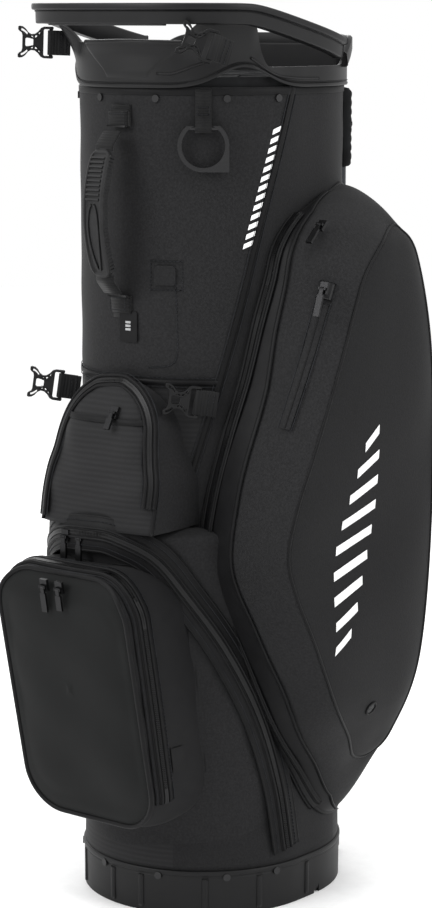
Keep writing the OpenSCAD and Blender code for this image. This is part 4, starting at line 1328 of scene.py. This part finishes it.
def makeSidePocket():
    (y0, y1), (z0, z1) = sidePocket["depth"], sidePocket["height"]
    flat = roundedOutline((y1 - y0) / 2, z0, z1, sidePocket["corner"], 160)
    inner = roundedOutline((y1 - y0) / 2 - 6, z0 + 14, z1 - 14, sidePocket["corner"], 160)
    middle = (y0 + y1) / 2
    root, _ = tubePoint(-atDepth((flat[:, 0] + middle) * mm), flat[:, 1] * mm, 0.0006)
    shape = np.array(sidePocket["profile"], float)
    seam = np.column_stack([np.interp(inner[:, 1], shape[:, 0], shape[:, 1]), inner[:, 0] + middle,
                            inner[:, 1]]) * mm
    seam[:, 0] = np.minimum(seam[:, 0], -0.142)
    outward = unit(np.column_stack([np.zeros(160), flat[:, 0], (flat[:, 1] - (z0 + z1) / 2) * 0.6]))
    gusset = gussetGrid(root, seam, 0.003, outward, 10)
    wall = gridPiece("side_pocket_gusset", gusset, twill, closeV=True,
                     outward=np.broadcast_to(outward, gusset.shape))
    attach(wall, "bag", "pocket_fabric", "side_pocket")
    centre = np.array([-0.160, middle * mm, (z0 + z1) / 2 * mm])
    w = np.linspace(0, 0.96, 18)[:, None, None]
    rings = seam + (centre - seam) * w
    rings[..., 0] = seam[:, 0] + (np.minimum(np.interp(rings[..., 2] / mm, shape[:, 0], shape[:, 1]) * mm,
                                             seam[:, 0]) -
                                  seam[:, 0]) * smoothStep(w[..., 0], 0, 0.25)
    face = fanPiece("side_pocket_face", rings, centre + [-0.003, 0, 0], canvasDark, np.array([-1.0, 0, 0]))
    attach(face, "bag", "pocket_fabric")
    normal = unit(outward + [-1.0, 0, 0])
    attach(sweepPiece("side_pocket_piping", seam, normal, roundProfile(0.0020, 0.0004), cordNylon,
                      closed=True),
           "bag", "pocket_fabric")
    line = gussetPath(root, seam, 0.5, 0.003, outward)
    span = (np.arange(160) > 40) & (np.arange(160) < 120)
    makeZip("side_pocket_zip", lifted((line[0][span], line[1][span]), 0.0008), "bag", "pocket_fabric",
            0.012)


makeSidePocket()


# ---- hip pad: quilted foam on the flat back, with two small wings under the cuff ----

hip = {"halfWidth": 33, "low": 330, "top": 755, "thick": 17.4, "rib": 18, "dip": 3.0, "wingAt": 134,
       "wingHalf": 14,
       "wing": (745, 826), "wingThick": 9.2}


# a soft block on a surface: place(u, v, o) gives points, u and v in metres, o proud; its edges are rounded off
def padPiece(name, halfWidth, low, high, thick, place, material, dips):
    a = np.linspace(-1, 1, 61)
    u = np.sign(a) * (1 - (1 - np.abs(a)) ** 1.6)
    length = high - low
    count = int(length / 1.7)
    b = np.linspace(-1, 1, count)
    v = (low + high) / 2 + length / 2 * np.sign(b) * (1 - (1 - np.abs(b)) ** 1.12)
    edge = 6.0
    across = np.clip((1 - np.abs(u)) * halfWidth / edge, 0, 1)
    along = np.clip(np.minimum(v - low, high - v) / edge, 0, 1)
    rise = np.sqrt(1 - (1 - across[:, None]) ** 2) * np.sqrt(1 - (1 - along[None, :]) ** 2)
    o = thick * rise ** 0.8 * 0.95 - dips(v)[None, :] * rise
    o = np.maximum(o, 0.0) + 0.35
    points = place(u[:, None] * halfWidth * mm, v[None, :] * mm, o * mm)
    piece = gridPiece(name, points, material, outward=np.array([0, 1.0, 0]))
    return piece


def makeHipPad():
    def ribs(v):
        return hip["dip"] * (np.abs(np.cos(math.pi * (v - hip["low"]) / hip["rib"])) ** 0.5 * -1 + 1)

    def flatBack(u, v, o):
        return tubePoint(halfRound + u, v, o)[0]

    pad = padPiece("hip_pad_cushion", hip["halfWidth"], hip["low"], hip["top"], hip["thick"], flatBack,
                   gridKnit, ribs)
    attach(pad, "bag", "pad_fabric", "hip_pad")
    turn = math.radians(hip["wingAt"] - 90)
    s = quarter + 2 * tube["half"] + tube["radius"] * turn
    for sign, tag in ((1, "right"), (-1, "left")):
        def wing(u, v, o, sign=sign):
            return tubePoint(sign * s + u, v, o)[0]
        piece = padPiece("hip_wing_" + tag, hip["wingHalf"], *hip["wing"], hip["wingThick"], wing, gridKnit,
                         lambda v: hip["dip"] * 0.5 * (1 - np.abs(np.cos(math.pi * v / 9)) ** 0.5))
        attach(piece, "bag", "pad_fabric")
    z = np.linspace(hip["low"] + 8, hip["top"] - 8, 120) * mm
    rows = [(np.column_stack([np.full(120, x), np.full(120, 0.1362), z]), np.tile([0, 1.0, 0], (120, 1)))
            for x in (-0.024, 0.024)]
    for points, normal in rows:
        points[:, 1] = 0.118 + (hip["thick"] + 0.35 - ribs(z / mm)) * mm
    stitchRow("hip_pad_stitches", rows, "bag", "pad_fabric")


makeHipPad()
print("side pocket and hip pad ready")


# ---- carry handle: webbing anchors sewn to the body, short tapes and the moulded grip ----

# a path in the upright plane through the bag's axis: degrees round the front, then (proud, height) in mm
def radialPath(degrees, route, step=0.0012):
    flat = evenPath(smoothPath(np.array(route, float), 30 * len(route)) * mm, step)
    points, out = tubePoint(atAngle(degrees), flat[:, 1], flat[:, 0])
    run = np.gradient(flat, axis=0)
    run = run / np.linalg.norm(run, axis=1, keepdims=True)
    return points, unit(out * -run[:, 1:] + np.array([0, 0, 1.0]) * run[:, :1])


def makeHandle():
    anchors, tapes = [], []
    for sign in (1, -1):
        def up(z, sign=sign):
            return 708.5 + sign * (z - 708.5)
        # the tape is folded over itself and box-stitched: two layers, the upper one a little shorter
        low = radialPath(0, [(0.4, up(813)), (0.4, up(800)), (0.6, up(791))])
        anchors.append(sweepPiece("tape", *low, bandProfile(0.0235, 0.0016), webbing))
        fold = radialPath(0, [(2.2, up(808)), (3.6, up(803)), (4.2, up(797)), (6.0, up(791.5)),
                              (9.4, up(791.2))])
        anchors.append(sweepPiece("fold", *fold, bandProfile(0.0230, 0.0018), webbing))
        block = radialPath(0, [(2.0, up(806)), (2.0, up(799)), (2.0, up(792))])
        anchors.append(sweepPiece("core", *block, bandProfile(0.0232, 0.0062), webbing))
        tape = radialPath(0, [(14.0, up(787.0)), (17.8, up(783.0)), (22.0, up(778.6)), (25.4, up(774.0)),
                              (26.2, up(768.6))])
        tapes.append(sweepPiece("tape", *tape, bandProfile(0.0220, 0.0024, -0.0012), webbing))
    attach(joinPieces("handle_anchor_tapes", anchors), "bag", "webbing", "handle_anchors")
    attach(joinPieces("handle_tapes", tapes), "carry_handle", "webbing", "handle_webbing")
    rows = []
    for z in (798, 619):
        corners = [(-4.0, z - 6), (4.0, z - 6), (4.0, z + 6), (-4.0, z + 6), (-4.0, z - 6)]
        for (a0, z0), (a1, z1) in zip(corners, corners[1:]):
            rows.append(tubePath([(a0, z0), (a1, z1)], 0.002, 0.0078))
    stitchRow("handle_anchor_stitches", rows, "bag", "webbing", 0.0030, 0.0020)


makeHandle()


# moulded grip: a bow with a sunk channel on its face, level ribs above, two long bars below,
# and teeth along its sides
grip = {"radius": 144, "centre": (-34, 708.5), "sweep": 25.4, "half": 12.9, "deep": 5.9, "sink": 2.6,
        "channel": 9.2,
        "ribs": 10, "teeth": 34}


# place and outward direction on the bow, turn in radians from its middle
def gripLine(turn):
    y, z = grip["centre"]
    out = np.stack([0 * turn, -np.cos(turn), np.sin(turn)], axis=-1)
    return np.array([0, y, z]) * mm + grip["radius"] * mm * out, out


def makeGrip():
    end = math.radians(grip["sweep"])
    turn = end * np.sin(np.linspace(-math.pi / 2, math.pi / 2, 90))
    line, out = gripLine(turn)
    size = np.maximum(1 - np.abs(turn / end) ** 14, 0.12)[:, None] ** 0.5
    t = np.linspace(0, 2 * math.pi, 88, endpoint=False)
    x = grip["half"] * np.sign(np.cos(t)) * np.abs(np.cos(t)) ** 0.55
    n = grip["deep"] * np.sign(np.sin(t)) * np.abs(np.sin(t)) ** 0.5
    inside = smoothStep(np.abs(x), grip["channel"] + 0.7, grip["channel"] - 0.7) * (np.sin(t) > 0)
    inside = inside[None, :] * smoothStep(np.abs(turn), end * 0.94, end * 0.89)[:, None]
    n = n[None, :] - grip["sink"] * inside
    grid = (line[:, None] + np.array([1.0, 0, 0]) * (x[None, :] * size)[..., None] * mm
            + out[:, None] * (n * size)[..., None] * mm)
    count, m = grid.shape[:2]
    faces, flat = gridFaces(count, m, False, True), grid.reshape(-1, 3)
    q = flat[faces]
    away = q.mean(axis=1) - np.repeat(grid.mean(axis=1), m, axis=0)[:len(faces)]
    flip = (np.cross(q[:, 2] - q[:, 0], q[:, 3] - q[:, 1]) * away).sum() < 0
    first, last = np.arange(m), np.arange(m) + (count - 1) * m
    faces, ends = (faces[:, ::-1], [first, last[::-1]]) if flip else (faces, [first[::-1], last])
    bow = putObject("handle_grip_bow", flat, faces.tolist() + [e.tolist() for e in ends], gripRubber)
    attach(bow, "carry_handle", "grip_rubber", "handle_grip")
    # level ribs in the upper part of the channel
    ribTurn = np.linspace(end * 0.22, end * 0.84, grip["ribs"])
    line, out = gripLine(ribTurn)
    side = np.tile([1.0, 0, 0], (len(ribTurn), 1))
    up = np.cross(out, side)
    places = line + out * (grip["deep"] - 1.4) * mm
    attach(manyBoxes("handle_grip_ribs", places, [side, up, out], (0.0090, 0.0010, 0.0011), gripRubber,
                     0.92),
           "carry_handle", "grip_rubber")
    # two long bars that part below
    bars = []
    for sign in (-1, 1):
        turn = np.linspace(end * 0.14, -end * 0.86, 50)
        line, out = gripLine(turn)
        share = np.linspace(0, 1, 50)[:, None]
        line = line + np.array([1.0, 0, 0]) * sign * (1.2 + 5.2
                                                      * np.sin(math.pi * share ** 0.7) ** 0.8) * mm
        line = line + out * (grip["deep"] - 2.0) * mm
        bars.append(sweepPiece("bar", line, out, bandProfile(0.0024, 0.0016, -0.0004), gripRubber))
    attach(joinPieces("handle_grip_bars", bars), "carry_handle", "grip_rubber")
    # teeth along both sides
    toothTurn = np.tile(np.linspace(-end * 0.88, end * 0.88, grip["teeth"]), 2)
    sign = np.repeat([-1.0, 1.0], grip["teeth"])[:, None]
    line, out = gripLine(toothTurn)
    side = np.tile([1.0, 0, 0], (len(toothTurn), 1))
    places = line + side * sign * (grip["half"] - 0.3) * mm - out * 0.8 * mm
    attach(manyBoxes("handle_grip_teeth", places, [side, np.cross(out, side), out],
                     (0.0007, 0.0013, 0.0034), gripRubber),
           "carry_handle", "grip_rubber")


makeGrip()


# ---- towel ring: its webbing loop, sewn to the body and turned round the ring's bar ----

def makeTowelLoop():
    route = [(0.3, 828), (0.3, 812), (0.4, 801), (1.4, 795), (2.6, 789.2), (5.5, 786.9), (8.5, 789.0),
             (8.9, 792.5),
             (6.4, 796.4), (3.2, 800), (2.1, 806), (2.0, 826)]
    path = radialPath(39.5, route)
    loop = sweepPiece("towel_loop", *path, bandProfile(0.0160, 0.0015, -0.0004), webbing)
    attach(loop, "bag", "webbing", "towel_ring_webbing")
    a = 2.6
    rows = [tubePath([(39.5 - a, z), (39.5 + a, z)], 0.002, 0.0036) for z in (804, 811)]
    rows += [tubePath([(39.5 + s * a, 804), (39.5 + s * a, 811)], 0.002, 0.0036) for s in (-1, 1)]
    stitchRow("towel_loop_stitches", rows, "bag", "webbing", 0.0030, 0.0020)


makeTowelLoop()


# ---- strap ends: tape from a root on the bag, turned round the bar of a side release socket ----

# root place, turn about Z, turn of the buckle from that, rise; mm and degrees
straps = {"upper_left": ((-101, -100, 870), 220, 0, 2), "upper_right": ((126, -126, 862), 250, -28, 20),
          "mid_left": ((-81, -112, 524), 220, 0, 8), "mid_right": ((96, -108, 523), 224, 0, 8)}
strapSize = {"tape": 0.020, "width": 0.0245, "thick": 0.0013, "bar": 0.0019}


# origin and axes of a strap: along it, across it (level), and up
def strapFrame(key):
    (x, y, z), turn, _, rise = straps[key]
    t, r = math.radians(turn), math.radians(rise)
    along = np.array([math.cos(t) * math.cos(r), math.sin(t) * math.cos(r), math.sin(r)])
    across = np.array([-math.sin(t), math.cos(t), 0.0])
    return np.array([x, y, z]) * mm, along, across, np.cross(along, across)


def makeStrap(key):
    origin, along, across, up = strapFrame(key)
    l, t = strapSize["tape"], strapSize["thick"]
    turns = np.radians(np.linspace(118, -118, 22))
    r = strapSize["bar"] + 0.0002
    loop = [(l + r * math.cos(a), r * math.sin(a)) for a in turns]
    route = [(0.0003, 0.0005), (0.004, 0.0007), (0.010, 0.0009), (0.0150, 0.0012)] + loop
    route += [(0.0150, -0.0012), (0.010, -0.0009), (0.004, -0.0007)]
    flat = evenPath(smoothPath(np.array(route), 160), 0.0008)
    run = np.gradient(flat, axis=0)
    run = run / np.linalg.norm(run, axis=1, keepdims=True)
    points = origin + flat[:, :1] * along + flat[:, 1:] * across
    normals = -run[:, 1:] * along + run[:, :1] * across
    tape = sweepPiece("tape_" + key, points, unit(normals), bandProfile(strapSize["width"], t, 0.0),
                      webbing)
    attach(tape, "webbing_" + key, "webbing", "strap_" + key)
    n = 30
    rows = []
    for x in (0.0045, 0.0095):
        v = np.linspace(-0.0105, 0.0105, n)[:, None]
        rows.append((origin + x * along + (0.0009 + t) * across + v * up, np.tile(across, (n, 1))))
    stitchRow("tape_stitches_" + key, rows, "webbing_" + key, "webbing", 0.0028, 0.0018)


# a plate cut from flat outlines (the first is its edge, the others holes), with rounded edges
def platePiece(name, outlines, thick, edge, material):
    curve = bpy.data.curves.new(name, "CURVE")
    curve.dimensions = "2D"
    curve.fill_mode = "BOTH"
    curve.extrude = thick / 2 - edge
    curve.bevel_depth = edge
    curve.bevel_resolution = 2
    curve.offset = -edge
    for outline in outlines:
        spline = curve.splines.new("POLY")
        spline.points.add(len(outline) - 1)
        spline.points.foreach_set("co", np.column_stack([outline, np.zeros(len(outline)),
                                                         np.ones(len(outline))]).ravel())
        spline.use_cyclic_u = True
    flat = bpy.data.objects.new(name + "_flat", curve)
    bpy.context.scene.collection.objects.link(flat)
    bpy.context.view_layer.update()
    mesh = bpy.data.meshes.new_from_object(flat.evaluated_get(bpy.context.evaluated_depsgraph_get()))
    bpy.data.objects.remove(flat)
    piece = bpy.data.objects.new(name, mesh)
    bpy.context.scene.collection.objects.link(piece)
    mesh.materials.clear()
    mesh.materials.append(material)
    return piece


# puts a mesh made in the XY plane on an origin and three axes
def placePiece(piece, origin, ax, ay, az):
    mesh = piece.data
    co = np.empty(len(mesh.vertices) * 3)
    mesh.vertices.foreach_get("co", co)
    co = co.reshape(-1, 3)
    co = origin + co[:, :1] * ax + co[:, 1:2] * ay + co[:, 2:] * az
    mesh.vertices.foreach_set("co", co.ravel())
    mesh.update()
    return piece


def circle(x, y, r, count=24):
    t = np.linspace(0, 2 * math.pi, count, endpoint=False)
    return np.column_stack([x + r * np.cos(t), y + r * np.sin(t)])


buckle = {"edge": [(-2.4, 13.2), (-2.4, 15.2), (-1.2, 15.9), (7.0, 15.7), (10.0, 14.4), (12.8, 10.8),
                  (16.0, 8.4), (19.6, 7.9), (22.6, 9.6), (25.4, 13.2), (28.2, 15.3), (31.2, 15.9),
                  (32.9, 15.2), (33.0, 12.2), (31.6, 10.6), (29.4, 9.2), (28.6, 6.4), (28.6, 0)],
          "plate": 5.2}


def makeBuckle(key):
    origin, along, across, up = strapFrame(key)
    origin = origin + strapSize["tape"] * along
    turn = math.radians(straps[key][2])
    ax = along * math.cos(turn) + across * math.sin(turn)
    az = -along * math.sin(turn) + across * math.cos(turn)
    half = np.array(buckle["edge"], float)
    edge = np.vstack([half, (half * [1, -1])[::-1][1:]])
    edge = np.vstack([edge, [(6.4, -13.2), (7.4, -12.2), (7.4, 12.2), (6.4, 13.2)]])
    holes = []
    for s in (-1, 1):
        holes += [circle(11.2, s * 8.6, 1.15), circle(14.8, s * 5.6, 1.15), circle(19.0, s * 5.0, 1.15)]
        t = np.linspace(0, 1, 14)[:, None]
        top = np.column_stack([23.2 + 6.6 * t, s * (9.0 + 4.4 * np.sin(t * 1.5))])
        low = np.column_stack([23.8 + 6.2 * t, s * (7.4 + 4.0 * np.sin(t * 1.5))])
        holes.append(np.vstack([top, low[::-1]]))
    holes.append(np.array([(17.6, -2.6), (18.6, -3.4), (24.4, -4.2), (25.6, -3.2), (25.6, 3.2), (24.4, 4.2),
                           (18.6, 3.4),
                           (17.6, 2.6)]))
    plate = platePiece("socket_plate", [o * mm for o in [edge] + holes], buckle["plate"] * mm, 0.0006,
                       bucklePlastic)
    placePiece(plate, origin, ax, up, az)
    # round bar for the tape, and raised ribs on both faces
    t = np.linspace(0, 2 * math.pi, 16, endpoint=False)
    ring = np.column_stack([np.cos(t), np.sin(t)]) * strapSize["bar"]
    line = np.linspace(-14.4, 14.4, 12) * mm
    bar = sweepPiece("bar", origin + line[:, None] * up, np.tile(ax, (12, 1)), ring, bucklePlastic)
    ribs = [bar]
    for face in (-1, 1):
        for s in (-1, 1):
            route = np.array([(9.0, s * 11.4), (12.0, s * 7.0), (16.0, s * 3.8), (21.6, s * 5.6)],
                             float) * mm
            flat = evenPath(smoothPath(route, 60), 0.0006)
            points = origin + flat[:, :1] * ax + flat[:, 1:] * up + face * buckle["plate"] / 2 * mm * az
            ribs.append(sweepPiece("rib", points, np.tile(face * az, (len(flat), 1)),
                                   bandProfile(0.0012, 0.0009, -0.0002),
                                   bucklePlastic))
    whole = joinPieces("socket_" + key, [plate] + ribs)
    attach(whole, "socket_" + key, "buckle_plastic", "buckle_" + key)


for key in straps:
    makeStrap(key)
    makeBuckle(key)
print("handle, ring and straps ready")


# ---- materials of the pieces that show as they are ----

shown = {basePlastic: ["base_cup", "base_foot"],
         steel: ["foot_hinge_pin", "leg_pivot_pins", "actuator_wire"],
         cuffPlastic: ["leg_bracket", "leg_knuckle_right", "leg_knuckle_left"],
         legMetal: ["leg_tube_right", "leg_tube_left"],
         rubber: ["leg_foot_right", "leg_foot_left"], tabPlastic: ["stay_rods"],
         ringMetal: ["towel_ring", "rivets"], trimNylon: ["name_tag"], canvasDark: ["glove_patch"],
         gunmetal: ["slider_valuables", "slider_front_left", "slider_front_right", "slider_ball_left",
                    "slider_ball_right",
                    "slider_apparel", "slider_stash", "pull_valuables", "pull_front_left",
                    "pull_front_right",
                    "pull_ball_left", "pull_ball_right", "pull_apparel", "pull_stash"]}


def paintFrame():
    for material, names in shown.items():
        for name in names:
            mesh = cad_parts[name].data
            for slot in range(max(1, len(mesh.materials))):
                if slot < len(mesh.materials):
                    mesh.materials[slot] = material
                else:
                    mesh.materials.append(material)


paintFrame()


# three short bars on the name tag, as a plain mark
def makeTagMark():
    z = np.array([600.5, 597.0, 593.5]) * mm
    points, normals = tubePoint(np.full(3, atAngle(3.6)), z, 0.0016)
    axes = [np.tile(unit(np.cross(normals[0], [0, 0, 1.0])), (3, 1)), np.tile([0, 0, 1.0], (3, 1)), normals]
    attach(manyBoxes("name_tag_mark", points, axes, (0.0030, 0.0011, 0.0004), greyFilm), "bag",
           "tag_plastic")


makeTagMark()
print("frame materials ready")
